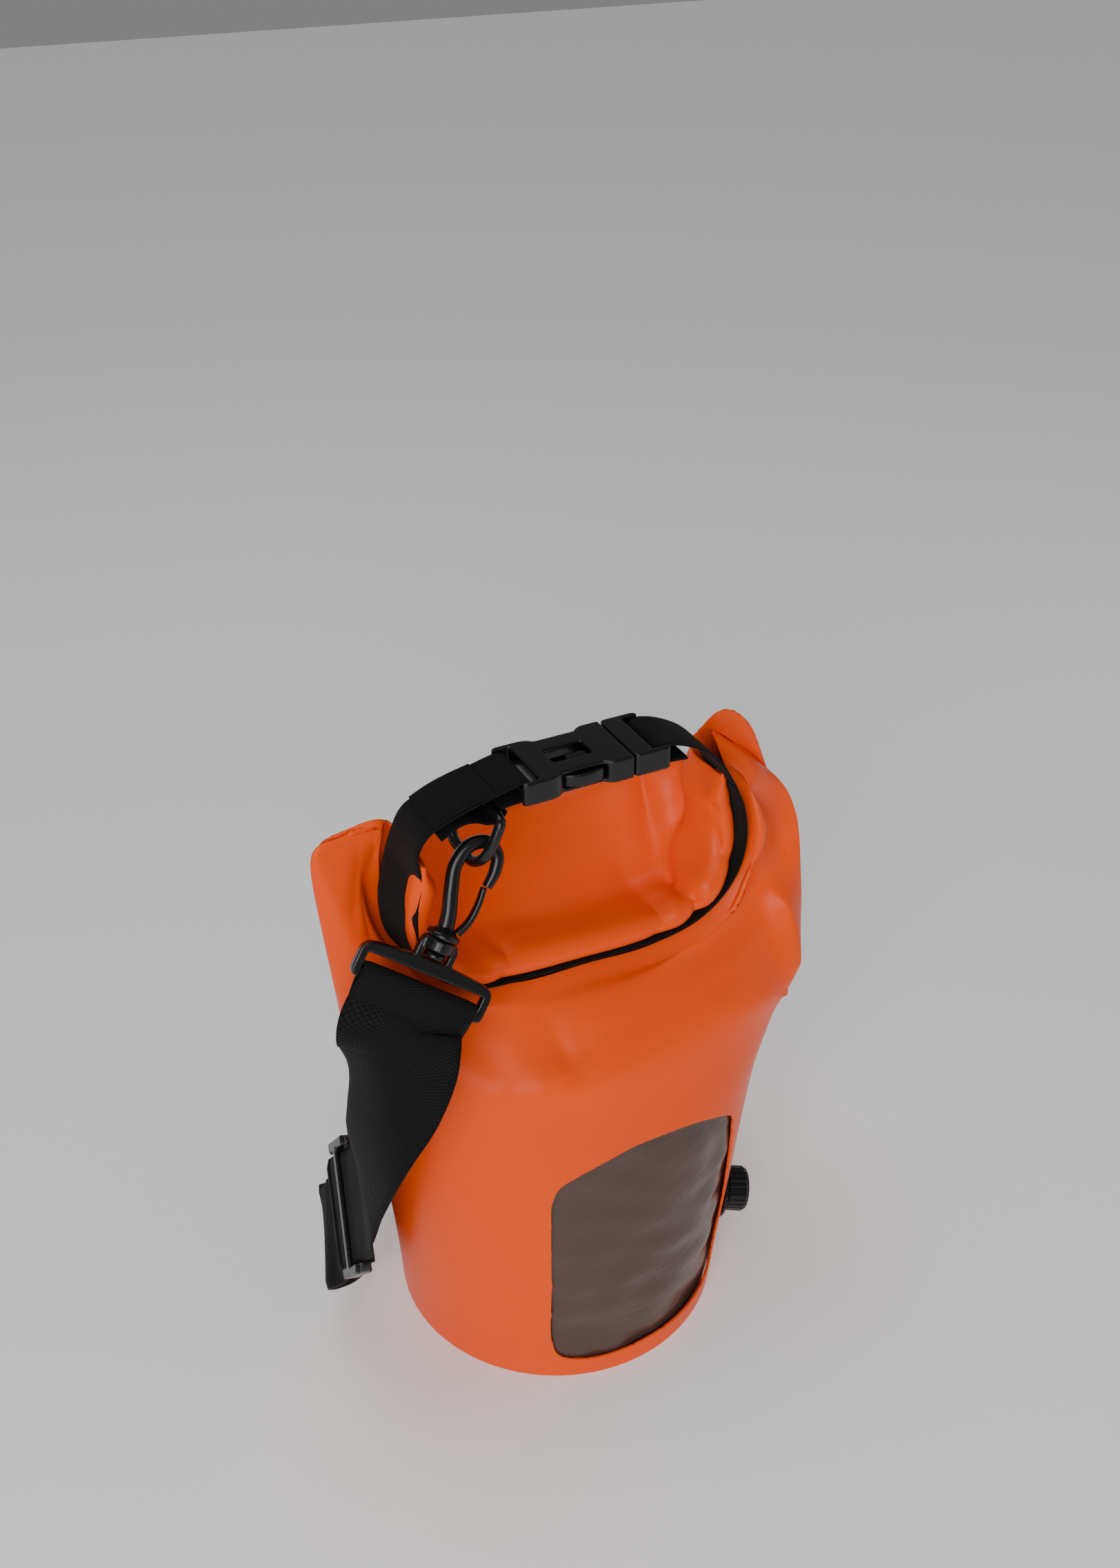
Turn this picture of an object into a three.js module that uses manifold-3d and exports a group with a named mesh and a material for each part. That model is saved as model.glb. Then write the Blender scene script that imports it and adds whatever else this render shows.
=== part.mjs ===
// Roll-top dry bag with a window, an air valve, a buckled carry loop and an adjustable shoulder strap.
// Millimetres, +Z up, front (window side) towards -Y, the rolled mouth runs along X.
// The origin is the centre of the base on the ground.
import * as THREE from "three";
import { mergeVertices } from "three/addons/utils/BufferGeometryUtils.js";
import Module from "manifold-3d";

const wasm = await Module();
wasm.setup();

// ---------- driving dimensions ----------
const BASE_RADIUS = 75;
const WALL = 1.4;
const PANEL = 2;
const CLOSURE_WIDTH = 25;
const CLOSURE_THICK = 1.6;
const CLOSURE_Y = -13.5;
const ROLL_WIDTH = 31;
const ROLL_THICK = 11;
const ROLL_Y = -10.5;
const NECK_FRONT_Y = -18;
const NECK_BACK_Y = -9;
const STRAP_WIDTH = 48;
const STRAP_THICK = 1.7;
const RING_WIRE = 2.2;
const RING_WIDTH = 34;
const RING_HEIGHT = 22.5;
const WINDOW_TURN = THREE.MathUtils.degToRad(7);
const WINDOW_LEFT = 43;
const WINDOW_RIGHT = 58.5;
const WINDOW_BOTTOM = 10;
const WINDOW_SHOULDER = 110;
const WINDOW_TOP = 122;

const V = (x, y, z) => new THREE.Vector3(x, y, z);

// ---------- colours ----------
const paint = (color, roughness, metalness = 0) =>
  new THREE.MeshStandardMaterial({ color, roughness, metalness });
const ORANGE = paint(0xf4641e, 0.45);
const ORANGE_DARK = paint(0xd9541a, 0.5);
const BLACK_WEB = paint(0x151314, 0.85);
const BLACK_PLASTIC = paint(0x1b1a1b, 0.4);
const SMOKE = paint(0x6b5d58, 0.15);

const bag = new THREE.Group();
function add(name, geometry, material) {
  const mesh = new THREE.Mesh(geometry, material);
  mesh.name = name;
  bag.add(mesh);
  return mesh;
}

// ---------- geometry helpers ----------
function volumeOf(points, faces) {
  let sum = 0;
  for (const [a, b, c] of faces) {
    sum += points[a].dot(new THREE.Vector3().crossVectors(points[b], points[c]));
  }
  return sum / 6;
}

function solid(points, faces) {
  const outward = volumeOf(points, faces) > 0;
  const index = [];
  for (const [a, b, c] of faces) {
    if (outward) index.push(a, b, c);
    else index.push(a, c, b);
  }
  const position = points.flatMap((p) => [p.x, p.y, p.z]);
  const geometry = new THREE.BufferGeometry();
  geometry.setAttribute("position", new THREE.Float32BufferAttribute(position, 3));
  geometry.setIndex(index);
  return geometry;
}

// Closed skin over a row of rings with the same number of points, with a cap on each end.
function loft(rings, endless = false) {
  const n = rings[0].length;
  const points = rings.flat();
  const faces = [];
  const last = endless ? rings.length : rings.length - 1;
  for (let i = 0; i < last; i++) {
    const a = i * n;
    const b = ((i + 1) % rings.length) * n;
    for (let j = 0; j < n; j++) {
      const k = (j + 1) % n;
      faces.push([a + j, a + k, b + k], [a + j, b + k, b + j]);
    }
  }
  if (!endless) {
    for (const [start, flip] of [[0, true], [(rings.length - 1) * n, false]]) {
      const middle = new THREE.Vector3();
      for (let j = 0; j < n; j++) middle.addScaledVector(points[start + j], 1 / n);
      const centre = points.push(middle) - 1;
      for (let j = 0; j < n; j++) {
        const k = (j + 1) % n;
        faces.push(flip ? [centre, start + k, start + j] : [centre, start + j, start + k]);
      }
    }
  }
  return solid(points, faces);
}

// A shell between an outer and an inner grid of rings, open at both ends.
function tubeShell(outer, inner) {
  const n = outer[0].length;
  const rings = [...outer, ...inner.slice().reverse()];
  const points = rings.flat();
  const faces = [];
  for (let i = 0; i < rings.length; i++) {
    const a = i * n;
    const b = ((i + 1) % rings.length) * n;
    for (let j = 0; j < n; j++) {
      const k = (j + 1) % n;
      faces.push([a + j, a + k, b + k], [a + j, b + k, b + j]);
    }
  }
  return solid(points, faces);
}

// A curved sheet between an outer and an inner grid of the same size, closed along its four edges.
function sheetSolid(outer, inner) {
  const rows = outer.length;
  const n = outer[0].length;
  const points = [...outer.flat(), ...inner.flat()];
  const far = rows * n;
  const faces = [];
  for (let i = 0; i < rows - 1; i++) {
    for (let j = 0; j < n - 1; j++) {
      const a = i * n + j;
      const b = a + n;
      faces.push([a, a + 1, b + 1], [a, b + 1, b]);
      faces.push([far + a, far + b + 1, far + a + 1], [far + a, far + b, far + b + 1]);
    }
  }
  const edge = (a, b) => faces.push([b, a, far + a], [b, far + a, far + b]);
  for (let j = 0; j < n - 1; j++) {
    edge(j, j + 1);
    edge((rows - 1) * n + j + 1, (rows - 1) * n + j);
  }
  for (let i = 0; i < rows - 1; i++) {
    edge((i + 1) * n, i * n);
    edge(i * n + n - 1, (i + 1) * n + n - 1);
  }
  return solid(points, faces);
}

function toManifold(geometry) {
  const bare = geometry.clone();
  bare.deleteAttribute("normal");
  bare.deleteAttribute("uv");
  const merged = mergeVertices(bare, 1e-4);
  return new wasm.Manifold(new wasm.Mesh({
    numProp: 3,
    vertProperties: Float32Array.from(merged.attributes.position.array),
    triVerts: Uint32Array.from(merged.index.array),
  }));
}

function fromManifold(body) {
  const mesh = body.getMesh();
  const geometry = new THREE.BufferGeometry();
  const position = new Float32Array(mesh.vertProperties);
  geometry.setAttribute("position", new THREE.BufferAttribute(position, 3));
  geometry.setIndex(Array.from(mesh.triVerts));
  return geometry;
}

function combine(base, added, removed) {
  let body = toManifold(base);
  for (const piece of added) body = body.add(toManifold(piece));
  for (const piece of removed) body = body.subtract(toManifold(piece));
  return fromManifold(body);
}

// Moves a geometry from local x, y, z axes to the given place.
function place(geometry, origin, xAxis, yAxis, zAxis) {
  const matrix = new THREE.Matrix4().makeBasis(xAxis, yAxis, zAxis).setPosition(origin);
  return geometry.clone().applyMatrix4(matrix);
}

function box(cx, cy, cz, sx, sy, sz) {
  return new THREE.BoxGeometry(sx, sy, sz).translate(cx, cy, cz);
}

function roundedShape(x0, y0, x1, y1, r) {
  const s = new THREE.Shape();
  s.moveTo(x0 + r, y0);
  s.lineTo(x1 - r, y0);
  s.quadraticCurveTo(x1, y0, x1, y0 + r);
  s.lineTo(x1, y1 - r);
  s.quadraticCurveTo(x1, y1, x1 - r, y1);
  s.lineTo(x0 + r, y1);
  s.quadraticCurveTo(x0, y1, x0, y1 - r);
  s.lineTo(x0, y0 + r);
  s.quadraticCurveTo(x0, y0, x0 + r, y0);
  return s;
}

function plate(shape, depth, curveSegments = 4) {
  const geometry = new THREE.ExtrudeGeometry(shape, { depth, bevelEnabled: false, curveSegments });
  return geometry.translate(0, 0, -depth / 2);
}

function smooth(points, closed = false) {
  return new THREE.CatmullRomCurve3(points, closed, "centripetal");
}

// Frames along a curve whose width direction is guided by vectors at the control points.
function framesAlong(points, guides, steps) {
  const curve = smooth(points);
  const guide = smooth(guides);
  const frames = [];
  for (let i = 0; i <= steps; i++) {
    const t = i / steps;
    const at = curve.getPoint(t);
    const along = curve.getTangent(t).normalize();
    const wide = guide.getPoint(t);
    wide.addScaledVector(along, -wide.dot(along)).normalize();
    const out = new THREE.Vector3().crossVectors(wide, along).normalize();
    frames.push({ at, along, wide, out });
  }
  return frames;
}

function bandRing(frame, width, thick, shift = 0) {
  const corner = (a, b) => frame.at.clone()
    .addScaledVector(frame.wide, a * width / 2)
    .addScaledVector(frame.out, shift + b * thick / 2);
  return [corner(-1, -1), corner(1, -1), corner(1, 1), corner(-1, 1)];
}

function band(frames, width, thick, shift = 0) {
  return loft(frames.map((frame) => bandRing(frame, width, thick, shift)));
}

// ---------- the closure's path, seen from the front (x, z) ----------
const U_PATH = [
  [-31, 288.6], [-45, 284.8], [-58, 279.6], [-67, 270.5], [-72.5, 256], [-75.5, 240], [-73, 221],
  [-62, 205.5], [-46, 198.6], [-24, 196.4], [0, 195.2], [22, 194.2], [41, 194.8], [56, 199.2],
  [67.5, 208], [74.8, 220.5], [77, 234], [75, 249], [70, 261.5],
];
const TAIL_PATH = [[69.2, 263], [63, 273.5], [55, 282], [46, 287.3], [39.5, 289.6]];

// Points of the closed part of the loop, on which the rolled mouth lies.
const ARM_LEFT = [-68.5, 267];
const ARM_RIGHT = [[70.3, 261], [66.8, 267.4]];
const NECK_POINTS = [ARM_LEFT, ...U_PATH.filter(([x, z]) => z < 257), ...ARM_RIGHT];

function pathNormal(curve, t) {
  const along = curve.getTangent(t);
  return V(-along.z, 0, along.x).normalize();
}

const neckCurve = smooth(NECK_POINTS.map(([x, z]) => V(x, 0, z)));

// s runs from -1 at the left arm's top to 1 at the right arm's top; lift moves inwards.
function onNeck(s, lift, y) {
  const t = THREE.MathUtils.clamp((s + 1) / 2, 0, 1);
  const at = neckCurve.getPointAt(t);
  const along = neckCurve.getTangentAt(t);
  const inward = V(-along.z, 0, along.x).normalize();
  return at.addScaledVector(inward, lift).setY(y);
}

// ---------- the bag's own surface ----------
// Each row: half widths left and right, depths front and back, and heights at
// the front, the left seam, the right seam and the back. yL and yR move the seams
// to the front or back, and a pinch above 1 flattens the row towards them.
const ROWS = [
  { aL: 74.6, aR: 74.6, bF: 74.6, bB: 74.6, zF: 0, zL: 0, zR: 0, zB: 0, yL: 0, yR: 0, pinch: 1 },
  { aL: 76, aR: 78, bF: 74.5, bB: 74.5, zF: 22, zL: 22, zR: 22, zB: 22, yL: 0, yR: 0, pinch: 1 },
  { aL: 79, aR: 85, bF: 73, bB: 73.5, zF: 55, zL: 55, zR: 55, zB: 55, yL: 0, yR: 0, pinch: 1 },
  { aL: 85, aR: 95, bF: 68, bB: 70, zF: 98, zL: 98, zR: 98, zB: 100, yL: 0, yR: -2, pinch: 1.05 },
  { aL: 92, aR: 106, bF: 61, bB: 65, zF: 136, zL: 138, zR: 140, zB: 150, yL: 0, yR: -10, pinch: 1.15 },
  { aL: 97, aR: 112, bF: 55, bB: 61, zF: 160, zL: 178, zR: 170, zB: 188, yL: 1, yR: -20, pinch: 1.25 },
  { aL: 100.5, aR: 115, bF: 46, bB: 54, zF: 174, zL: 222, zR: 204, zB: 215, yL: 2, yR: -15, pinch: 1.35 },
  { aL: 103, aR: 112, bF: 36, bB: 40, zF: 184, zL: 261, zR: 233, zB: 231, yL: 3, yR: -8, pinch: 1.5 },
];
const AROUND = 24;

function ovalRow(row) {
  const points = [];
  for (let i = 0; i < AROUND; i++) {
    const turn = (2 * Math.PI * i) / AROUND;
    const s = Math.sin(turn);
    const c = Math.cos(turn);
    const side = s >= 0 ? row.aR : row.aL;
    const sideZ = s >= 0 ? row.zR : row.zL;
    const depth = c >= 0 ? row.bF : row.bB;
    const endZ = c >= 0 ? row.zF : row.zB;
    const blend = Math.pow(Math.abs(s), c >= 0 ? 4 : 2.5);
    const flat = Math.sign(c) * Math.pow(Math.abs(c), row.pinch);
    const shift = (s >= 0 ? row.yR : row.yL) * Math.pow(Math.abs(s), 3);
    points.push(V(side * s, shift - depth * flat, endZ + (sideZ - endZ) * blend));
  }
  return points;
}

// The mouth: front and back edges lie under the roll, side by side along the U.
// Its two ends are drawn out to the folded edges of the ears.
function mouthRow(frontY, backY, lift, reach, earLeft, earRight) {
  const points = [];
  for (let i = 0; i < AROUND; i++) {
    const turn = (2 * Math.PI * i) / AROUND;
    const c = Math.cos(turn);
    const part = Math.sin(turn);
    const middle = (frontY + backY) / 2;
    const half = (backY - frontY) / 2 * (1 - 0.4 * part * part);
    const y = middle - Math.sign(c) * half * Math.min(1, Math.abs(c) * 2.5);
    const point = onNeck(part * reach, lift, y);
    points.push(point.lerp(part >= 0 ? earRight : earLeft, Math.pow(Math.abs(part), 10)));
  }
  return points;
}

const net = ROWS.map(ovalRow);
net.push(mouthRow(-31, 13, -12.5, 0.95, V(-91, 3, 268), V(98, -1, 252)));
net.push(mouthRow(NECK_FRONT_Y, NECK_BACK_Y, -6.5, 0.9, V(-79, 1, 268), V(80, 2, 269)));

function catmull(a, b, c, d, t) {
  const point = new THREE.Vector3();
  for (const axis of ["x", "y", "z"]) {
    const [p, q, r, s] = [a[axis], b[axis], c[axis], d[axis]];
    point[axis] = 0.5 * (2 * q + (r - p) * t + (2 * p - 5 * q + 4 * r - s) * t * t
      + (3 * q - p - 3 * r + s) * t * t * t);
  }
  return point;
}

function rowPoint(row, u) {
  const x = ((u % 1) + 1) % 1 * AROUND;
  const i = Math.floor(x);
  const pick = (k) => row[(i + k + AROUND) % AROUND];
  return catmull(pick(-1), pick(0), pick(1), pick(2), x - i);
}

// u goes once around from the front towards +X; v from the base (0) to the mouth (1).
function onBag(u, v) {
  const x = THREE.MathUtils.clamp(v, 0, 1) * (net.length - 1);
  const i = Math.min(Math.floor(x), net.length - 2);
  const pick = (k) => rowPoint(net[THREE.MathUtils.clamp(i + k, 0, net.length - 1)], u);
  return catmull(pick(-1), pick(0), pick(1), pick(2), x - i);
}

function bagNormal(u, v) {
  const e = 0.004;
  const around = onBag(u + e, v).sub(onBag(u - e, v));
  const up = onBag(u, Math.min(v + e, 1)).sub(onBag(u, Math.max(v - e, 0)));
  return around.cross(up).normalize();
}

function offBag(u, v, depth) {
  return onBag(u, v).addScaledVector(bagNormal(u, v), depth);
}

function bagGrid(aroundSteps, levels, depth) {
  return levels.map((v) => {
    const ring = [];
    for (let j = 0; j < aroundSteps; j++) ring.push(offBag(j / aroundSteps, v, depth));
    return ring;
  });
}

function levelList(from, to, count) {
  return Array.from({ length: count + 1 }, (_, i) => from + (to - from) * i / count);
}

function windowShape(grow) {
  const s = new THREE.Shape();
  const low = WINDOW_BOTTOM - grow;
  const left = -WINDOW_LEFT - grow;
  const right = WINDOW_RIGHT + grow;
  const side = WINDOW_SHOULDER;
  s.moveTo(left + 12, low);
  s.lineTo(right - 14, low);
  s.quadraticCurveTo(right - 2, low, right - 2, low + 12);
  s.lineTo(right, side - 18);
  s.quadraticCurveTo(right + 0.5, side - 6, right - 8, side - 1.5);
  s.quadraticCurveTo(10, WINDOW_TOP + grow + 6, left + 14, side + 5);
  s.quadraticCurveTo(left + 4, side + 1.5, left + 3, side - 6);
  s.lineTo(left, low + 12);
  s.quadraticCurveTo(left, low, left + 12, low);
  return s;
}

const windowOut = V(Math.sin(WINDOW_TURN), -Math.cos(WINDOW_TURN), 0);
const windowSide = V(Math.cos(WINDOW_TURN), Math.sin(WINDOW_TURN), 0);
const UP = V(0, 0, 1);

function windowCutter() {
  const cutter = plate(windowShape(0), 70, 6).translate(0, 0, 65);
  return place(cutter, V(0, 0, 0), windowSide, UP, windowOut);
}

// The valve stands square to the bag's surface, low on the right.
const VALVE_AT = onBag(0.195, 0.142);
const valveOut = bagNormal(0.195, 0.142);
const valveSide = new THREE.Vector3().crossVectors(valveOut, UP).normalize();
const valveUp = new THREE.Vector3().crossVectors(valveSide, valveOut).normalize();

// Turns a lathe profile of [radius, height] so that its axis runs out along the valve.
function valveLathe(profile, segments) {
  const points = profile.map(([r, h]) => new THREE.Vector2(r, h));
  const geometry = new THREE.LatheGeometry(points, segments);
  return place(geometry, VALVE_AT, valveSide, valveOut, valveUp);
}

function bodyShell() {
  const levels = levelList(0, 1, 18);
  const outer = bagGrid(40, levels, 0);
  const inner = bagGrid(40, levels, -WALL);
  const shell = tubeShell(outer, inner);
  const valveHole = valveLathe([[0, -9], [8.1, -9], [8.1, 9], [0, 9]], 24);
  return combine(shell, [], [windowCutter(), valveHole]);
}

function basePanel() {
  const radius = BASE_RADIUS - WALL - 1.2;
  const profile = [
    [0, 0], [radius - 0.6, 0], [radius, 0.6], [radius, PANEL], [0, PANEL],
  ].map(([r, z]) => new THREE.Vector2(r, z));
  return new THREE.LatheGeometry(profile, 60).rotateX(Math.PI / 2);
}

// The clear sheet is welded behind the window's edge.
function windowSheet() {
  const columns = 16;
  const levels = levelList(0.035, 0.45, 9);
  const row = (v, depth) => Array.from({ length: columns + 1 }, (_, j) => {
    const u = -0.093 + 0.258 * j / columns;
    return offBag(u, v, depth);
  });
  const outer = levels.map((v) => row(v, -WALL - 0.8));
  const inner = levels.map((v) => row(v, -WALL - 1.7));
  return sheetSolid(outer, inner);
}

// A welded tape over the seam at the back.
function backSeamTape() {
  const levels = levelList(0.14, 0.7, 12);
  const row = (v, depth) => [-0.014, -0.005, 0.005, 0.014].map((du) => offBag(0.5 + du, v, depth));
  return sheetSolid(levels.map((v) => row(v, 1.2)), levels.map((v) => row(v, 0.4)));
}

// ---------- the rolled mouth and its webbing ----------
function rolledClosure() {
  const rings = [];
  const lift = CLOSURE_THICK / 2 + 0.4 + ROLL_THICK / 2;
  for (let i = 0; i <= 34; i++) {
    const s = -0.97 + 1.94 * i / 34;
    const centre = onNeck(s, lift, ROLL_Y);
    const outerPoint = onNeck(s, 0, ROLL_Y);
    const inward = centre.clone().sub(outerPoint).normalize();
    const ring = [];
    for (let k = 0; k < 12; k++) {
      const turn = 2 * Math.PI * (k + 0.5) / 12;
      const c = Math.cos(turn);
      const q = Math.sin(turn);
      const wide = Math.sign(c) * Math.pow(Math.abs(c), 0.6) * ROLL_WIDTH / 2;
      const high = Math.sign(q) * Math.pow(Math.abs(q), 0.75) * ROLL_THICK / 2;
      ring.push(centre.clone().addScaledVector(inward, high).add(V(0, wide, 0)));
    }
    rings.push(ring);
  }
  return loft(rings);
}

function flatPath(points, y) {
  return points.map(([x, z]) => V(x, y, z));
}

const alongY = (points) => points.map(() => V(0, 1, 0));

// The webbing under the roll, up the left arm and round the buckle's left bar.
function closureWebbing() {
  const wrap = [
    [-36, 281.8], [-30.4, 282.2], [-26, 282.6], [-23.5, 283.9], [-22.7, 286.4],
    [-23.5, 288.9], [-26, 290.2], [-30, 289.7],
  ];
  const points = flatPath([...wrap, ...U_PATH.slice(1)], CLOSURE_Y);
  return band(framesAlong(points, alongY(points), 92), CLOSURE_WIDTH, CLOSURE_THICK);
}

function closureTail() {
  const wrap = [
    [35, 290.2], [32.5, 288.9], [31.7, 286.4], [32.5, 283.9], [35, 282.6], [40, 282.2],
    [46, 281.6],
  ];
  const points = flatPath([...TAIL_PATH, ...wrap], CLOSURE_Y);
  return band(framesAlong(points, alongY(points), 40), CLOSURE_WIDTH, CLOSURE_THICK);
}

// A short piece of webbing under the left run that holds the ring's bar.
function ringTab() {
  const points = flatPath([
    [-61, 274.6], [-52, 279], [-46, 278.4], [-42, 276.4], [-38.6, 275.9], [-35.4, 277.2], [-33.6, 279.9],
  ], CLOSURE_Y);
  return band(framesAlong(points, alongY(points), 16), CLOSURE_WIDTH, 1.2);
}

// ---------- buckle ----------
const BUCKLE = { left: -28, split: 20, right: 37, z: 286.4, half: 15.6, thick: 10 };

function buckleTop(shape, depth) {
  return plate(shape, depth, 4).translate(0, CLOSURE_Y, BUCKLE.z);
}

// Outline of half the socket, from its webbing bar to its mouth, with waisted sides.
function socketShape() {
  const h = BUCKLE.half;
  const s = new THREE.Shape();
  s.moveTo(BUCKLE.left, -h + 3);
  s.quadraticCurveTo(BUCKLE.left, -h, BUCKLE.left + 3, -h);
  s.lineTo(-17, -h);
  s.quadraticCurveTo(-12, -h, -10, -h + 2.6);
  s.lineTo(8, -h + 2.6);
  s.quadraticCurveTo(10, -h, 13, -h);
  s.lineTo(BUCKLE.split, -h);
  s.lineTo(BUCKLE.split, h);
  s.lineTo(13, h);
  s.quadraticCurveTo(10, h, 8, h - 2.6);
  s.lineTo(-10, h - 2.6);
  s.quadraticCurveTo(-12, h, -17, h);
  s.lineTo(BUCKLE.left + 3, h);
  s.quadraticCurveTo(BUCKLE.left, h, BUCKLE.left, h - 3);
  s.lineTo(BUCKLE.left, -h + 3);
  return s;
}

function buckleSocket() {
  const y = CLOSURE_Y;
  const z = BUCKLE.z;
  const body = buckleTop(socketShape(), BUCKLE.thick);
  const slot = box(-22.4, y, z, 4.4, 26.4, 20);
  const cavity = box(3, y, z, 37, 24.6, 6.4);
  const sideWindows = box(-0.2, y, z, 18.6, 60, 6.4);
  const topWindow = box(-1.5, y, z, 17, 10, 20);
  const barRelief = box(-26.4, y, z + 4.6, 5.2, 26.4, 5.4);
  const barReliefLow = box(-26.4, y, z - 4.6, 5.2, 26.4, 5.4);
  return combine(body, [], [slot, cavity, sideWindows, topWindow, barRelief, barReliefLow]);
}

function bucklePlug() {
  const y = CLOSURE_Y;
  const z = BUCKLE.z;
  const left = BUCKLE.split + 0.6;
  const base = buckleTop(roundedShape(left, -BUCKLE.half, BUCKLE.right, BUCKLE.half, 2.5), BUCKLE.thick);
  const tongue = box(left - 11, y, z, 24, 4.4, 5.4);
  const slot = box(31.6, y, z, 4.4, 26.4, 20);
  const relief = box(35.4, y, z + 4.6, 5.2, 26.4, 5.4);
  const reliefLow = box(35.4, y, z - 4.6, 5.2, 26.4, 5.4);
  return combine(base, [tongue], [slot, relief, reliefLow]);
}

// One sprung arm with the thumb pad that fills the socket's side window.
function buckleProng(side) {
  const s = new THREE.Shape();
  const left = BUCKLE.split + 0.6;
  s.moveTo(left - 0.4, 6.8);
  s.lineTo(left - 0.4, 10.6);
  s.lineTo(9.6, 11.4);
  s.lineTo(6.9, 14.2);
  s.quadraticCurveTo(2, 15.6, -3, 15.2);
  s.quadraticCurveTo(-8.6, 14.2, -9.2, 11.2);
  s.lineTo(-12.6, 9.4);
  s.lineTo(-12.6, 7.6);
  s.lineTo(-8, 7.4);
  s.lineTo(5, 7.8);
  s.lineTo(left - 0.4, 6.8);
  const arm = plate(s, 5.2, 4);
  if (side < 0) {
    const flipped = arm.clone().rotateX(Math.PI);
    return flipped.translate(0, CLOSURE_Y, BUCKLE.z);
  }
  return arm.translate(0, CLOSURE_Y, BUCKLE.z);
}

// ---------- rings ----------
// A rounded rectangular ring: its bar lies along barDir, it hangs along hangDir from the bar's centre.
function wireRing(barCentre, barDir, hangDir) {
  const w = RING_WIDTH / 2;
  const h = RING_HEIGHT;
  const flat = [
    [-w + 3, 0], [0, 0], [w - 3, 0], [w - 0.6, -0.9], [w, -4], [w, -h * 0.55], [w - 2.2, -h + 5],
    [w - 7.5, -h + 0.8], [0, -h], [-w + 7.5, -h + 0.8], [-w + 2.2, -h + 5], [-w, -h * 0.55], [-w, -4],
    [-w + 0.6, -0.9],
  ];
  const points = flat.map(([a, b]) => barCentre.clone()
    .addScaledVector(barDir, a).addScaledVector(hangDir, -b));
  const curve = smooth(points, true);
  const normal = new THREE.Vector3().crossVectors(barDir, hangDir).normalize();
  const rings = [];
  const steps = 30;
  for (let i = 0; i < steps; i++) {
    const at = curve.getPointAt(i / steps);
    const along = curve.getTangentAt(i / steps);
    const side = new THREE.Vector3().crossVectors(along, normal).normalize();
    const ring = [];
    for (let k = 0; k < 6; k++) {
      const turn = 2 * Math.PI * k / 6;
      ring.push(at.clone().addScaledVector(side, RING_WIRE * Math.cos(turn))
        .addScaledVector(normal, RING_WIRE * Math.sin(turn)));
    }
    rings.push(ring);
  }
  return loft(rings, true);
}

// ---------- snap hooks ----------
// Local axes of a hook: x towards the nose, y up from the strap bar to the eye, z out of the hook's face.
// Stroke of varying width along a plane curve, as a shape.
function strokeShape(points, widths) {
  const curve = smooth(points.map(([x, y]) => V(x, y, 0)));
  const wide = smooth(widths.map((w, i) => V(w, i, 0)));
  const steps = 20;
  const left = [];
  const right = [];
  for (let i = 0; i <= steps; i++) {
    const at = curve.getPoint(i / steps);
    const along = curve.getTangent(i / steps);
    const half = wide.getPoint(i / steps).x / 2;
    left.push(new THREE.Vector2(at.x - along.y * half, at.y + along.x * half));
    right.push(new THREE.Vector2(at.x + along.y * half, at.y - along.x * half));
  }
  return new THREE.Shape([...right, ...left.reverse()]);
}

function cylinderY(radius, y0, y1, segments) {
  return new THREE.CylinderGeometry(radius, radius, y1 - y0, segments).translate(0, (y0 + y1) / 2, 0);
}

function hookBody() {
  const spine = plate(strokeShape(
    [[0, 24.4], [-1.6, 32], [-5.2, 42], [-7.6, 51], [-5.8, 59.4], [0, 63.4], [5.8, 60.6], [7.8, 54.5], [7.6, 47.6]],
    [6.4, 6, 5.6, 5.4, 5.4, 5.4, 5, 4.6, 3.6],
  ), 5.6);
  const collar = cylinderY(6.6, 23, 25, 16);
  const stem = cylinderY(2.8, 16, 23.5, 12);
  const head = cylinderY(4.2, 14.6, 17, 12);
  return combine(spine, [collar, stem, head], []);
}

function hookGate() {
  const shape = strokeShape([[4.7, 26.8], [6.6, 32], [7.2, 39], [6.6, 46.9]], [3, 2.8, 2.6, 2.4]);
  return plate(shape, 4.4);
}

function strapFrame() {
  const w = STRAP_WIDTH / 2 + 4;
  const s = new THREE.Shape();
  s.moveTo(-w + 3, -2.6);
  s.lineTo(w - 3, -2.6);
  s.quadraticCurveTo(w, -2.6, w, 0.4);
  s.lineTo(w, 7.5);
  s.quadraticCurveTo(w, 11.5, w - 5, 12.2);
  s.lineTo(8, 13.6);
  s.lineTo(8, 19);
  s.lineTo(6.6, 22.4);
  s.lineTo(-6.6, 22.4);
  s.lineTo(-8, 19);
  s.lineTo(-8, 13.6);
  s.lineTo(-w + 5, 12.2);
  s.quadraticCurveTo(-w, 11.5, -w, 7.5);
  s.lineTo(-w, 0.4);
  s.quadraticCurveTo(-w, -2.6, -w + 3, -2.6);
  const frame = plate(s, 4.6);
  const barrel = cylinderY(6.4, 17.8, 22.4, 16);
  const slot = box(0, 4.9, 0, STRAP_WIDTH + 1.2, 6, 20);
  const headRoom = box(0, 15.9, 0, 10.4, 3.8, 20);
  const bore = cylinderY(3.1, 15, 24, 12);
  const barCutUp = box(0, -2.6, 2.7, STRAP_WIDTH + 1.2, 9.2, 1);
  const barCutDown = box(0, -2.6, -2.7, STRAP_WIDTH + 1.2, 9.2, 1);
  return combine(frame, [barrel], [slot, headRoom, bore, barCutUp, barCutDown]);
}

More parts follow.
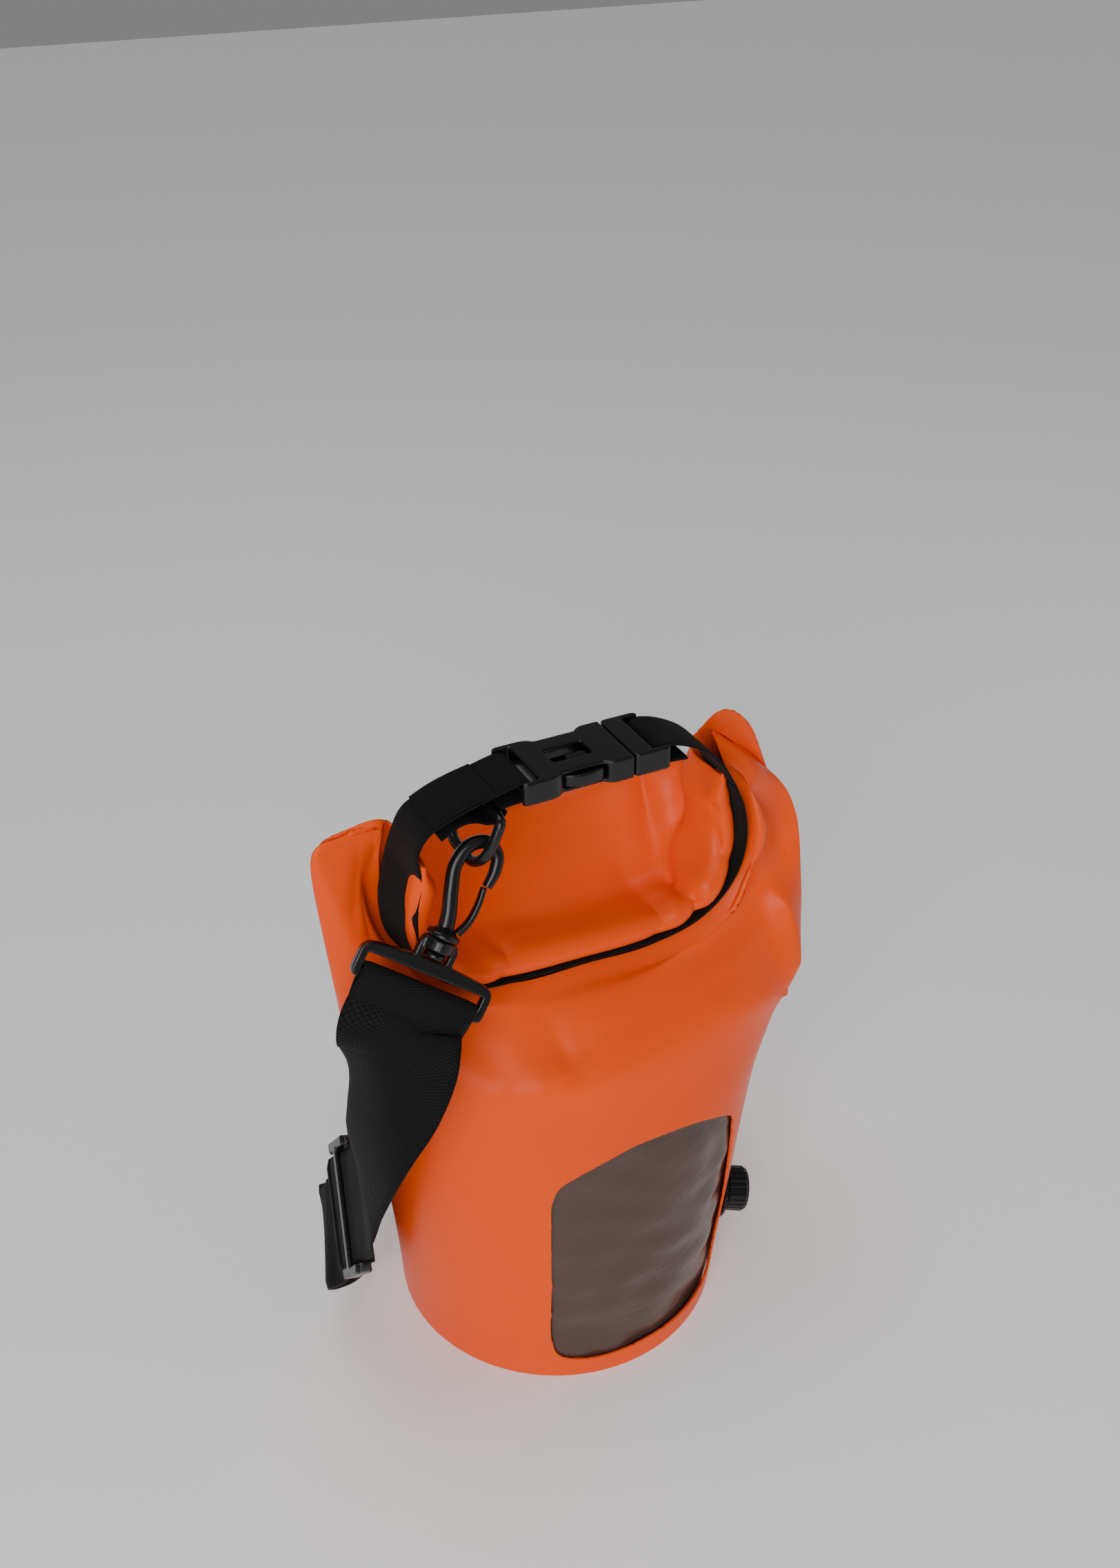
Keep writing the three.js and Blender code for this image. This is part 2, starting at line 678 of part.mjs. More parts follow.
// The strap's end, folded round the frame's bar and sewn to itself.
function strapEnd(length) {
  const s = new THREE.Shape();
  s.moveTo(-1.8, -length);
  s.lineTo(1.8, -length);
  s.lineTo(2.6, -8.5);
  s.quadraticCurveTo(4.5, -5.5, 4.4, -1);
  s.quadraticCurveTo(4.2, 4.2, 0, 4.4);
  s.quadraticCurveTo(-4.2, 4.2, -4.4, -1);
  s.quadraticCurveTo(-4.5, -5.5, -2.6, -8.5);
  s.lineTo(-1.8, -length);
  const hole = new THREE.Path();
  hole.moveTo(0, -6.2);
  hole.lineTo(2.8, -3.4);
  hole.lineTo(2.8, 1.2);
  hole.lineTo(1.6, 2.6);
  hole.lineTo(-1.6, 2.6);
  hole.lineTo(-2.8, 1.2);
  hole.lineTo(-2.8, -3.4);
  s.holes.push(hole);
  return plate(s, STRAP_WIDTH, 3).rotateY(Math.PI / 2);
}

// Where the ring's wire lies in a hook, measured up from the strap bar.
const EYE = 55.2;
const upperBar = V(-38.6, CLOSURE_Y - 1.5, 280.2);
const upperHang = V(-0.42, 0, -0.907).normalize();
const UPPER = {
  x: V(0.795, -0.33, -0.507),
  y: V(0.589, 0.225, 0.777).normalize(),
};
UPPER.origin = upperBar.clone().addScaledVector(upperHang, 20).add(V(0, -12.6, 0))
  .addScaledVector(UPPER.y, -EYE);
UPPER.z = new THREE.Vector3().crossVectors(UPPER.x, UPPER.y).normalize();
UPPER.y = new THREE.Vector3().crossVectors(UPPER.z, UPPER.x).normalize();
UPPER.x.normalize();

// The lower ring stands on the back wall with its bar upright and points along the pull of the strap.
const LOWER_Z = 40;
const LOWER_TURN = THREE.MathUtils.degToRad(205.5);
const lowerOut = V(Math.sin(LOWER_TURN), -Math.cos(LOWER_TURN), 0);
const lowerAlong = V(-Math.cos(LOWER_TURN), -Math.sin(LOWER_TURN), 0);
const TAB_U = 168 / 360;
const TAB_V = 0.172;
const lowerBar = offBag(TAB_U, TAB_V, 6.6).setZ(LOWER_Z);
const lowerEye = V(-4, 93.5, LOWER_Z);
const lowerHang = lowerEye.clone().sub(lowerBar).normalize();
const LOWER = {
  origin: lowerBar.clone().addScaledVector(lowerHang, RING_HEIGHT).addScaledVector(lowerAlong, -EYE),
  along: lowerAlong,
  out: lowerOut,
};

function upperPlace(geometry) {
  return place(geometry, UPPER.origin, UPPER.x, UPPER.y, UPPER.z);
}

function lowerHookPlace(geometry) {
  return place(geometry, LOWER.origin, LOWER.out, LOWER.along, V(0, 0, -1));
}

function lowerFramePlace(geometry) {
  return place(geometry, LOWER.origin, UP, LOWER.along, LOWER.out);
}

// ---------- shoulder strap ----------
const END_UPPER = 10;
const END_LOWER = 13;

function strapStart() {
  return UPPER.origin.clone().addScaledVector(UPPER.y, -END_UPPER - 1.4);
}

function strapFinish() {
  return LOWER.origin.clone().addScaledVector(LOWER.along, -END_LOWER - 0.4);
}

// Control points with the direction across the strap, from the upper hook to the lower hook.
const GLIDE = {
  at: V(-105.5, -12, 90.4),
  along: V(-0.05, 0.642, -0.765).normalize(),
  wide: V(-0.2, -0.75, -0.63),
};

function strapControls() {
  const start = strapStart();
  const end = strapFinish();
  const rows = [
    [start, UPPER.x],
    [start.clone().addScaledVector(UPPER.y, -5), V(0.8, -0.36, -0.48)],
    [V(-91, -46, 194.5), V(0.68, -0.64, -0.33)],
    [V(-94.2, -46.4, 182.5), V(0.5, -0.85, -0.1)],
    [V(-98.8, -44, 166.4), V(0.22, -0.97, -0.03)],
    [V(-103.6, -40, 147.6), V(0, -0.97, -0.22)],
    [V(-105.8, -34, 128.5), V(-0.12, -0.88, -0.45)],
    [GLIDE.at.clone().addScaledVector(GLIDE.along, -25), GLIDE.wide],
    [GLIDE.at.clone().addScaledVector(GLIDE.along, -12.5), GLIDE.wide],
    [GLIDE.at, GLIDE.wide],
    [GLIDE.at.clone().addScaledVector(GLIDE.along, 12.5), GLIDE.wide],
    [GLIDE.at.clone().addScaledVector(GLIDE.along, 25), GLIDE.wide],
    [V(-104.1, 11.8, 54.1), V(-0.22, -0.79, -0.57)],
    [V(-107.1, 17.9, 45.5), V(-0.31, -0.69, -0.65)],
    [V(-103.4, 27.9, 33), V(-0.16, -0.73, -0.67)],
    [V(-95.3, 31, 30.9), V(0.1, -0.48, -0.87)],
    [V(-87.2, 35.9, 31.3), V(-0.05, -0.18, -0.98)],
    [V(-79.4, 42.8, 34.5), V(-0.05, -0.15, -0.99)],
    [V(-71.5, 50.5, 38.7), V(0.07, 0.06, -1)],
    [end.clone().addScaledVector(LOWER.along, -6), V(0, 0, -1)],
    [end, V(0, 0, -1)],
  ];
  return { points: rows.map((row) => row[0]), guides: rows.map((row) => row[1]) };
}

const STRAP_STEPS = 72;
const strapControl = strapControls();
const strapFrames = framesAlong(strapControl.points, strapControl.guides, STRAP_STEPS);

// The slider parts the strap's single run from the doubled run below it.
const DOUBLED_FROM = strapFrames.findIndex((frame, i) => i > 20
  && frame.at.clone().sub(GLIDE.at).dot(GLIDE.along) > 24);

function shoulderStrap() {
  return band(strapFrames.slice(0, DOUBLED_FROM), STRAP_WIDTH, STRAP_THICK);
}

// Below the slider the strap runs to the lower hook and back, two layers on each other.
function strapDoubled() {
  return band(strapFrames.slice(DOUBLED_FROM), STRAP_WIDTH, 2 * STRAP_THICK + 0.4);
}

// The slider: two end bars in front of the strap, one middle bar behind it.
function sliderPiece() {
  const along = GLIDE.along.clone().normalize();
  const wide = GLIDE.wide.clone().addScaledVector(along, -GLIDE.wide.dot(along)).normalize();
  const out = new THREE.Vector3().crossVectors(wide, along).normalize();
  const w = STRAP_WIDTH / 2;
  const outer = plate(roundedShape(-w - 5, -17, w + 5, 17, 6), 4.4);
  const slotA = box(0, 7.4, 0, 2 * w + 1.6, 10, 20);
  const slotB = box(0, -7.4, 0, 2 * w + 1.6, 10, 20);
  const pass = box(0, 0, 0, 2 * w + 1.6, 40, 2.7);
  const railA = box(-w - 2.9, 0, 0, 4.2, 24, 7);
  const railB = box(w + 2.9, 0, 0, 4.2, 24, 7);
  const body = combine(outer, [railA, railB], []);
  const frontBars = box(0, 14.6, 2.9, 2 * w + 3, 4.6, 2.3);
  const backBars = box(0, -14.6, 2.9, 2 * w + 3, 4.6, 2.3);
  const middle = box(0, 0, -2.9, 2 * w + 3, 4.4, 2.3);
  const strapWay = box(0, 0, 0, 2 * w + 1.6, 40, 9);
  const open = combine(body, [], [slotA, slotB, pass, strapWay]);
  const result = combine(open, [frontBars, backBars, middle], []);
  return place(result, GLIDE.at, wide, along, new THREE.Vector3().crossVectors(wide, along));
}

// ---------- lower ring, its tab and its patch ----------
function lowerPatch() {
  const levels = levelList(0.1, 0.215, 4);
  const row = (v, depth) => levelList(-0.105, -0.012, 8).map((du) => offBag(TAB_U + du, v, depth));
  return sheetSolid(levels.map((v) => row(v, 1.6)), levels.map((v) => row(v, 0.8)));
}

// Webbing sewn along the wall and looped round the ring's upright bar.
function lowerTab() {
  const wall = (du, depth) => offBag(TAB_U + du, TAB_V, depth).setZ(LOWER_Z);
  const out = bagNormal(TAB_U, TAB_V).setZ(0).normalize();
  const ahead = V(-out.y, out.x, 0);
  const reach = RING_WIRE + 0.95;
  const points = [
    wall(-0.085, 3.2), wall(-0.06, 3.2), wall(-0.03, 3.2),
    lowerBar.clone().addScaledVector(out, -reach),
    lowerBar.clone().addScaledVector(ahead, reach),
    lowerBar.clone().addScaledVector(out, reach),
    lowerBar.clone().addScaledVector(ahead, -6.5).addScaledVector(out, 0.6),
    wall(-0.035, 5), wall(-0.06, 4.5), wall(-0.08, 4.5),
  ];
  return band(framesAlong(points, points.map(() => UP), 40), 24, 1);
}

// ---------- air valve ----------
const valveBody = () => valveLathe([
  [0, -7.5], [7.7, -7.5], [7.7, 0.5], [14, 0.5], [14, 1.8], [12.6, 2.4], [5.2, 2.4], [5.2, 8], [0, 8],
], 28);
const valveNut = () => valveLathe([
  [8.1, -6.6], [12.4, -6.6], [12.4, -3.9], [8.1, -3.9], [8.1, -6.6],
], 12);
const valveKnob = () => valveLathe([
  [5.6, 2.9], [10.2, 2.9], [10.8, 3.6], [10.8, 12], [9.6, 13.6], [7.4, 14.2], [0, 14.2], [0, 8.5],
  [5.6, 8.5], [5.6, 2.9],
].filter((_, i) => i !== 9).concat([[5.6, 2.9]]), 24);

// ---------- assembly ----------
add("base_panel", basePanel(), ORANGE_DARK);
add("body_shell", bodyShell(), ORANGE);
add("window_sheet", windowSheet(), SMOKE);
add("back_seam_tape", backSeamTape(), ORANGE_DARK);
add("rolled_closure", rolledClosure(), ORANGE);
add("closure_webbing", closureWebbing(), BLACK_WEB);
add("closure_tail", closureTail(), BLACK_WEB);
add("ring_tab", ringTab(), BLACK_WEB);
add("buckle_socket", buckleSocket(), BLACK_PLASTIC);
add("buckle_plug", bucklePlug(), BLACK_PLASTIC);
add("buckle_prong_front", buckleProng(-1), BLACK_PLASTIC);
add("buckle_prong_back", buckleProng(1), BLACK_PLASTIC);

add("upper_ring", wireRing(upperBar, V(0, 1, 0), upperHang), BLACK_PLASTIC);
add("upper_hook", upperPlace(hookBody()), BLACK_PLASTIC);
add("upper_gate", upperPlace(hookGate()), BLACK_PLASTIC);
add("upper_frame", upperPlace(strapFrame()), BLACK_PLASTIC);
add("strap_end_upper", upperPlace(strapEnd(END_UPPER)), BLACK_WEB);

add("shoulder_strap", shoulderStrap(), BLACK_WEB);
add("strap_doubled", strapDoubled(), BLACK_WEB);
add("strap_slider", sliderPiece(), BLACK_PLASTIC);

add("lower_ring", wireRing(lowerBar, UP, lowerHang), BLACK_PLASTIC);
add("lower_tab", lowerTab(), BLACK_WEB);
add("lower_patch", lowerPatch(), ORANGE_DARK);
add("lower_hook", lowerHookPlace(hookBody()), BLACK_PLASTIC);
add("lower_gate", lowerHookPlace(hookGate()), BLACK_PLASTIC);
add("lower_frame", lowerFramePlace(strapFrame()), BLACK_PLASTIC);
add("strap_end_lower", lowerFramePlace(strapEnd(END_LOWER)), BLACK_WEB);

add("valve_body", valveBody(), BLACK_PLASTIC);
add("valve_nut", valveNut(), BLACK_PLASTIC);
add("valve_knob", valveKnob(), BLACK_PLASTIC);

export default bag;
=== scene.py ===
import math

import bmesh
import bpy
import numpy as np
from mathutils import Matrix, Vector


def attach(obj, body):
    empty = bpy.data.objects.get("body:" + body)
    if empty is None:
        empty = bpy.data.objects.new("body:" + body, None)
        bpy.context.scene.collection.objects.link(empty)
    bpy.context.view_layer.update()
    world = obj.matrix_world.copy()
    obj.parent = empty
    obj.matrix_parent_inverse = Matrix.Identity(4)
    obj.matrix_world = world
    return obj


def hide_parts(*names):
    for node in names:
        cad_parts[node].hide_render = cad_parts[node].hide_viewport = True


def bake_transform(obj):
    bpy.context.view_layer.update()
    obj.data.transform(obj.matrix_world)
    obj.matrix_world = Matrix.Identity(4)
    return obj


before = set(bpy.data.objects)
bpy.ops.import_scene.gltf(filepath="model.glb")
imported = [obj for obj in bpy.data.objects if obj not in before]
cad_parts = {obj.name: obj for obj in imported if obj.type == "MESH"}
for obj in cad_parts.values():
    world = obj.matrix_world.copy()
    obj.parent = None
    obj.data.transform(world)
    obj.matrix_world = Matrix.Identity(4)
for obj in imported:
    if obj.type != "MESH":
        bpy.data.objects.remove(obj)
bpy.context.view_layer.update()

MM = 0.001

# ---------- driving dimensions ----------
CLOSURE_Y = -13.5
CLOSURE_WIDTH = 25.0
CLOSURE_THICK = 1.6
STRAP_WIDTH = 48.0
STRAP_THICK = 1.7
RING_WIRE = 2.2
RING_WIDTH = 34.0
RING_HEIGHT = 22.5
EYE = 55.2
WINDOW_TURN = math.radians(7)
WINDOW_REACH = 61.0
WINDOW_HIGHEST = 126.0
SKIN_THICK = 1.2
FILM_THICK = 0.5
ROLL_SKIN = 1.0
ROLL_REACH = 0.985
NECK_STEPS = 400
STRAP_STEPS = 400
VALVE_U, VALVE_V = 0.195, 0.142
LOWER_HEIGHT = 40.0
AROUND = 24


def vec(x, y, z):
    return np.array([x, y, z], float)


def unit(v):
    return v / np.linalg.norm(v)


UP = vec(0, 0, 1)


# ---------- curves ----------
def spline(points, closed=False):
    """A centripetal Catmull-Rom curve through the points, as a function of t from 0 to 1."""
    pts = [np.array(p, float) for p in points]
    count = len(pts)

    def at(t):
        p = (count if closed else count - 1) * t
        i = int(math.floor(p))
        w = p - i
        if closed:
            i %= count
        elif i >= count - 1:
            i, w = count - 2, 1.0
        if closed:
            p0, p1, p2, p3 = (pts[(i + k) % count] for k in (-1, 0, 1, 2))
        else:
            p1, p2 = pts[i], pts[i + 1]
            p0 = pts[i - 1] if i > 0 else 2 * pts[0] - pts[1]
            p3 = pts[i + 2] if i + 2 < count else 2 * pts[-1] - pts[-2]
        d1 = max(np.linalg.norm(p2 - p1) ** 0.5, 1e-4)
        d0 = np.linalg.norm(p1 - p0) ** 0.5
        d2 = np.linalg.norm(p3 - p2) ** 0.5
        d0 = d0 if d0 > 1e-4 else d1
        d2 = d2 if d2 > 1e-4 else d1
        t1 = ((p1 - p0) / d0 - (p2 - p0) / (d0 + d1) + (p2 - p1) / d1) * d1
        t2 = ((p2 - p1) / d1 - (p3 - p1) / (d1 + d2) + (p3 - p2) / d2) * d1
        c2 = -3 * p1 + 3 * p2 - 2 * t1 - t2
        c3 = 2 * p1 - 2 * p2 + t1 + t2
        return p1 + t1 * w + c2 * w * w + c3 * w ** 3

    return at


def even(curve, count, closed=False, fine=800):
    """Points at equal distances along a curve."""
    raw = np.array([curve(i / fine) for i in range(fine + 1)])
    step = np.linalg.norm(np.diff(raw, axis=0), axis=1)
    run = np.concatenate([[0], np.cumsum(step)])
    stops = np.linspace(0, run[-1], count + (1 if closed else 0))
    if closed:
        stops = stops[:-1]
    return np.stack([np.interp(stops, run, raw[:, k]) for k in range(3)], axis=1)


def tangents(points, closed=False):
    pts = np.array(points)
    if closed:
        d = np.roll(pts, -1, axis=0) - np.roll(pts, 1, axis=0)
    else:
        d = np.gradient(pts, axis=0)
    return d / np.linalg.norm(d, axis=1, keepdims=True)


# ---------- meshes ----------
def make(name, points, faces, material, uv=None, smooth=True):
    mesh = bpy.data.meshes.new(name)
    mesh.from_pydata([tuple(p * MM) for p in np.array(points, float)], [], faces)
    if uv is not None:
        layer = mesh.uv_layers.new(name="along")
        for loop in mesh.loops:
            layer.data[loop.index].uv = uv[loop.vertex_index]
    mesh.materials.append(material)
    mesh.validate()
    obj = bpy.data.objects.new(name, mesh)
    bpy.context.scene.collection.objects.link(obj)
    if smooth:
        mesh.polygons.foreach_set("use_smooth", [True] * len(mesh.polygons))
    mesh.update()
    return obj


def fix_normals(obj):
    bm = bmesh.new()
    bm.from_mesh(obj.data)
    bmesh.ops.recalc_face_normals(bm, faces=bm.faces)
    bm.to_mesh(obj.data)
    bm.free()
    return obj


def ring_loft(name, rings, material, closed=False, uv=None, smooth=True):
    """A closed skin over rings of equal size, with flat ends unless it closes on itself."""
    rings = [np.array(r, float) for r in rings]
    n = len(rings[0])
    m = len(rings)
    points = np.concatenate(rings)
    faces = []
    for i in range(m if closed else m - 1):
        a = i * n
        b = ((i + 1) % m) * n
        for j in range(n):
            k = (j + 1) % n
            faces.append((a + j, a + k, b + k, b + j))
    if not closed:
        faces.append(tuple(range(n))[::-1])
        faces.append(tuple((m - 1) * n + j for j in range(n)))
    return fix_normals(make(name, points, faces, material, uv, smooth))


def grid(name, rows, material, wrap=False, uv=None):
    """An open skin over rows of equal size. wrap joins each row's end to its start."""
    rows = np.array(rows, float)
    m, n = rows.shape[:2]
    faces = []
    for i in range(m - 1):
        for j in range(n if wrap else n - 1):
            k = (j + 1) % n
            faces.append((i * n + j, i * n + k, (i + 1) * n + k, (i + 1) * n + j))
    return make(name, rows.reshape(-1, 3), faces, material, uv)


def thicken(obj, thickness, offset):
    mod = obj.modifiers.new("thickness", "SOLIDIFY")
    mod.thickness = thickness * MM
    mod.offset = offset
    return obj


def bake(obj):
    """Applies the modifiers, so that the mesh is final."""
    bpy.context.view_layer.update()
    shown = obj.evaluated_get(bpy.context.evaluated_depsgraph_get())
    mesh = bpy.data.meshes.new_from_object(shown)
    obj.modifiers.clear()
    obj.data = mesh
    return obj


# ---------- materials ----------
def material(name, color, roughness, metallic=0.0):
    mat = bpy.data.materials.new(name)
    mat.use_nodes = True
    shader = mat.node_tree.nodes["Principled BSDF"]
    shader.inputs["Base Color"].default_value = (*color, 1)
    shader.inputs["Roughness"].default_value = roughness
    shader.inputs["Metallic"].default_value = metallic
    return mat


def add_node(mat, kind, **values):
    node = mat.node_tree.nodes.new(kind)
    for key, value in values.items():
        if key in node.inputs:
            node.inputs[key].default_value = value
        else:
            setattr(node, key, value)
    return node


def join(mat, a, b):
    mat.node_tree.links.new(a, b)


def bump(mat, height, strength, distance, before=None):
    node = add_node(mat, "ShaderNodeBump", Strength=strength, Distance=distance)
    join(mat, height, node.inputs["Height"])
    if before is not None:
        join(mat, before, node.inputs["Normal"])
    join(mat, node.outputs["Normal"], mat.node_tree.nodes["Principled BSDF"].inputs["Normal"])
    return node.outputs["Normal"]


def noise(mat, scale, detail=3.0, roughness=0.5):
    place = add_node(mat, "ShaderNodeTexCoord")
    node = add_node(mat, "ShaderNodeTexNoise", Scale=scale, Detail=detail, Roughness=roughness)
    join(mat, place.outputs["Object"], node.inputs["Vector"])
    return node.outputs["Fac"]


def math_node(mat, operation, a, b=None):
    node = add_node(mat, "ShaderNodeMath", operation=operation)
    for socket, value in zip(node.inputs, (a, b)):
        if value is None:
            continue
        if isinstance(value, (int, float)):
            socket.default_value = value
        else:
            join(mat, value, socket)
    return node.outputs[0]


def coated_fabric():
    """Orange coated fabric: a faint woven grid under a satin skin."""
    mat = material("coated_fabric", (0.93, 0.078, 0.0), 0.38)
    shader = mat.node_tree.nodes["Principled BSDF"]
    shader.inputs["Specular IOR Level"].default_value = 0.20
    shader.inputs["Sheen Weight"].default_value = 0.0
    patches = noise(mat, 22, 4)
    ramp = add_node(mat, "ShaderNodeValToRGB")
    ramp.color_ramp.elements[0].color = (0.90, 0.072, 0.0, 1)
    ramp.color_ramp.elements[1].color = (0.96, 0.086, 0.0, 1)
    join(mat, patches, ramp.inputs["Fac"])
    join(mat, ramp.outputs["Color"], shader.inputs["Base Color"])
    place = add_node(mat, "ShaderNodeTexCoord")
    split = add_node(mat, "ShaderNodeSeparateXYZ")
    join(mat, place.outputs["Object"], split.inputs[0])
    lines = []
    for axis in ("X", "Z"):
        wave = math_node(mat, "SINE", math_node(mat, "MULTIPLY", split.outputs[axis], 2 * math.pi / 0.0022))
        lines.append(math_node(mat, "POWER", math_node(mat, "ABSOLUTE", wave), 6.0))
    weave = math_node(mat, "ADD", lines[0], lines[1])
    first = bump(mat, weave, 0.05, 0.0002)
    second = bump(mat, noise(mat, 60, 3), 0.10, 0.0012, first)
    bump(mat, noise(mat, 700, 2), 0.05, 0.0002, second)
    return mat


def webbing(name, rib, across, depth=0.00035):
    """Black woven webbing. Its mesh carries a map of distances across and along it."""
    mat = material(name, (0.006, 0.0055, 0.006), 0.75)
    shader = mat.node_tree.nodes["Principled BSDF"]
    shader.inputs["Specular IOR Level"].default_value = 0.12
    shader.inputs["Sheen Weight"].default_value = 0.03
    shader.inputs["Sheen Roughness"].default_value = 0.4
    uv = add_node(mat, "ShaderNodeUVMap", uv_map="along")
    split = add_node(mat, "ShaderNodeSeparateXYZ")
    join(mat, uv.outputs["UV"], split.inputs[0])
    u, v = split.outputs["X"], split.outputs["Y"]
    cell = math_node(mat, "FLOOR", math_node(mat, "DIVIDE", u, across))
    shift = math_node(mat, "MULTIPLY", cell, rib / 2)
    along = math_node(mat, "ADD", v, shift)
    row = math_node(mat, "SINE", math_node(mat, "MULTIPLY", along, 2 * math.pi / rib))
    column = math_node(mat, "SINE", math_node(mat, "MULTIPLY", u, math.pi / across))
    yarn = math_node(mat, "MULTIPLY", math_node(mat, "ABSOLUTE", column), row)
    # The colour follows the yarn's relief. The grooves carry painted shade and the ribs a painted sheen;
    # the yarn itself is one even black.
    ramp = add_node(mat, "ShaderNodeValToRGB")
    ramp.color_ramp.elements[0].color = (0.0022, 0.0020, 0.0021, 1)
    ramp.color_ramp.elements[1].color = (0.0120, 0.0105, 0.0110, 1)
    join(mat, math_node(mat, "MULTIPLY", math_node(mat, "ADD", yarn, 1.0), 0.5), ramp.inputs["Fac"])
    join(mat, ramp.outputs["Color"], shader.inputs["Base Color"])
    first = bump(mat, yarn, 0.75, depth)
    bump(mat, noise(mat, 900, 2), 0.25, 0.0002, first)
    return mat


def black_plastic():
    mat = material("black_plastic", (0.0065, 0.0056, 0.0056), 0.26)
    mat.node_tree.nodes["Principled BSDF"].inputs["Specular IOR Level"].default_value = 0.36
    first = bump(mat, noise(mat, 1500, 2), 0.06, 0.0001)
    bump(mat, noise(mat, 120, 2), 0.04, 0.0004, first)
    return mat


def smoke_tint_and_painted_shade():
    """Clear smoky film, a little creased. Its dark brown base colour is painted shade that stands for the
    dark inside, and only a little of the real inside shows through.
    """
    # Painted shade: this dark brown base stands for the bag's shaded inside seen through the film. The
    # transparent share below carries the film's real smoky tint.
    mat = material("smoke_tint_and_painted_shade", (0.100, 0.056, 0.042), 0.24)
    tree = mat.node_tree
    shader = tree.nodes["Principled BSDF"]
    shader.inputs["Specular IOR Level"].default_value = 0.5
    shader.inputs["Coat Weight"].default_value = 0.25
    shader.inputs["Coat Roughness"].default_value = 0.18
    place = add_node(mat, "ShaderNodeTexCoord")
    stretch = add_node(mat, "ShaderNodeMapping")
    stretch.inputs["Scale"].default_value = (1.0, 1.0, 2.6)
    join(mat, place.outputs["Object"], stretch.inputs["Vector"])
    creases = add_node(mat, "ShaderNodeTexNoise", Scale=26, Detail=5, Roughness=0.6)
    join(mat, stretch.outputs["Vector"], creases.inputs["Vector"])
    bump(mat, creases.outputs["Fac"], 0.35, 0.004)
    clear = add_node(mat, "ShaderNodeBsdfTransparent", Color=(0.55, 0.36, 0.30, 1))
    mix = add_node(mat, "ShaderNodeMixShader", Fac=0.26)
    join(mat, shader.outputs[0], mix.inputs[1])
    join(mat, clear.outputs[0], mix.inputs[2])
    join(mat, mix.outputs[0], tree.nodes["Material Output"].inputs["Surface"])
    return mat


FABRIC = coated_fabric()
WEB = webbing("closure_web", 0.0012, 0.0011)
WIDE_WEB = webbing("shoulder_web", 0.0010, 0.0016, 0.00022)
PLASTIC = black_plastic()
SMOKE_AND_PAINTED_SHADE = smoke_tint_and_painted_shade()


# ---------- the closure's path, seen from the front ----------
U_PATH = [
    (-31, 288.6), (-45, 286), (-58, 282), (-66.5, 277.5), (-70.8, 270), (-72.5, 256), (-75.5, 240),
    (-73, 221), (-62, 205.5), (-46, 198.6), (-24, 196.4), (0, 195.2), (22, 194.2), (41, 194.8), (56, 199.2),
    (67.5, 208), (74.8, 220.5), (77, 234), (75, 249), (70, 261.5),
]
TAIL_PATH = [(69.2, 263), (63, 273.5), (55, 282), (46, 287.3), (39.5, 289.6)]
ARMS_FROM = 257
NECK = [(-68.5, 267)] + [p for p in U_PATH if p[1] < ARMS_FROM] + [(70.3, 261), (66.8, 267.4)]
NECK_POINTS = even(spline([(x, 0, z) for x, z in NECK]), NECK_STEPS)
NECK_ALONG = tangents(NECK_POINTS)


def on_neck(s, lift, y):
    """s from -1 at the left arm's top to 1 at the right arm's top. lift moves into the loop."""
    x = min(max((s + 1) / 2, 0), 1) * (NECK_STEPS - 1)
    i = min(int(x), NECK_STEPS - 2)
    w = x - i
    p = NECK_POINTS[i] * (1 - w) + NECK_POINTS[i + 1] * w
    t = unit(NECK_ALONG[i] * (1 - w) + NECK_ALONG[i + 1] * w)
    inward = vec(-t[2], 0, t[0])
    p = p + inward * lift
    return vec(p[0], y, p[2])


# ---------- the bag's surface ----------
# Half widths left and right, depths front and back, heights at the front, left, right and back,
# how far the left and right folds sit to the back, and how flat the row is towards them.
ROWS = [
    (74.6, 74.6, 74.6, 74.6, 0, 0, 0, 0, 0, 0, 1),
    (76, 78, 74.5, 74.5, 22, 22, 22, 22, 0, 0, 1),
    (79, 85, 73, 73.5, 55, 55, 55, 55, 0, 0, 1),
    (85, 95, 68, 70, 98, 98, 98, 100, 0, -2, 1.05),
    (92, 106, 61, 65, 136, 138, 140, 150, 0, -10, 1.15),
    (97, 112, 57, 61, 160, 178, 170, 188, 1, -20, 1.3),
    (100.5, 115, 47, 54, 174, 222, 204, 215, 2, -15, 1.5),
    (103, 112, 37, 40, 185, 261, 233, 231, 3, -8, 1.8),
]


def ease(x, start, end):
    t = min(max((x - start) / (end - start), 0), 1)
    return t * t * (3 - 2 * t)


def oval_row(row):
    left, right, front, back, z_front, z_left, z_right, z_back, y_left, y_right, pinch = row
    points = []
    for i in range(AROUND):
        turn = 2 * math.pi * i / AROUND
        s, c = math.sin(turn), math.cos(turn)
        side = right if s >= 0 else left
        side_z = z_right if s >= 0 else z_left
        depth = front if c >= 0 else back
        end_z = z_front if c >= 0 else z_back
        blend = abs(s) ** (4 if c >= 0 else 2.5)
        shift = (y_right if s >= 0 else y_left) * abs(s) ** 3
        y = shift - depth * math.copysign(abs(c) ** pinch, c)
        points.append(vec(side * s, y, end_z + (side_z - end_z) * blend))
    return points


def mouth_row(front_y, left_y, right_y, back_y, front_lift, back_lift, reach, ear_left, ear_right):
    """The mouth under the roll. Up the arms its front edge moves back, behind the webbing."""
    points = []
    for i in range(AROUND):
        turn = 2 * math.pi * i / AROUND
        s, c = math.sin(turn), math.cos(turn)
        to_left = ease(-s, 0.40, 0.72)
        to_right = ease(s, 0.45, 0.8)
        front = front_y + (left_y - front_y) * to_left + (right_y - front_y) * to_right
        side = math.copysign(1, c) * min(1, abs(c) * 2.5)
        to_back = 0.5 - 0.5 * side
        y = front + (back_y - front) * to_back
        lift = front_lift + (back_lift - front_lift) * to_back
        ear = ear_right if s >= 0 else ear_left
        w = abs(s) ** 10
        points.append(on_neck(s * reach, lift, y) * (1 - w) + ear * w)
    return points


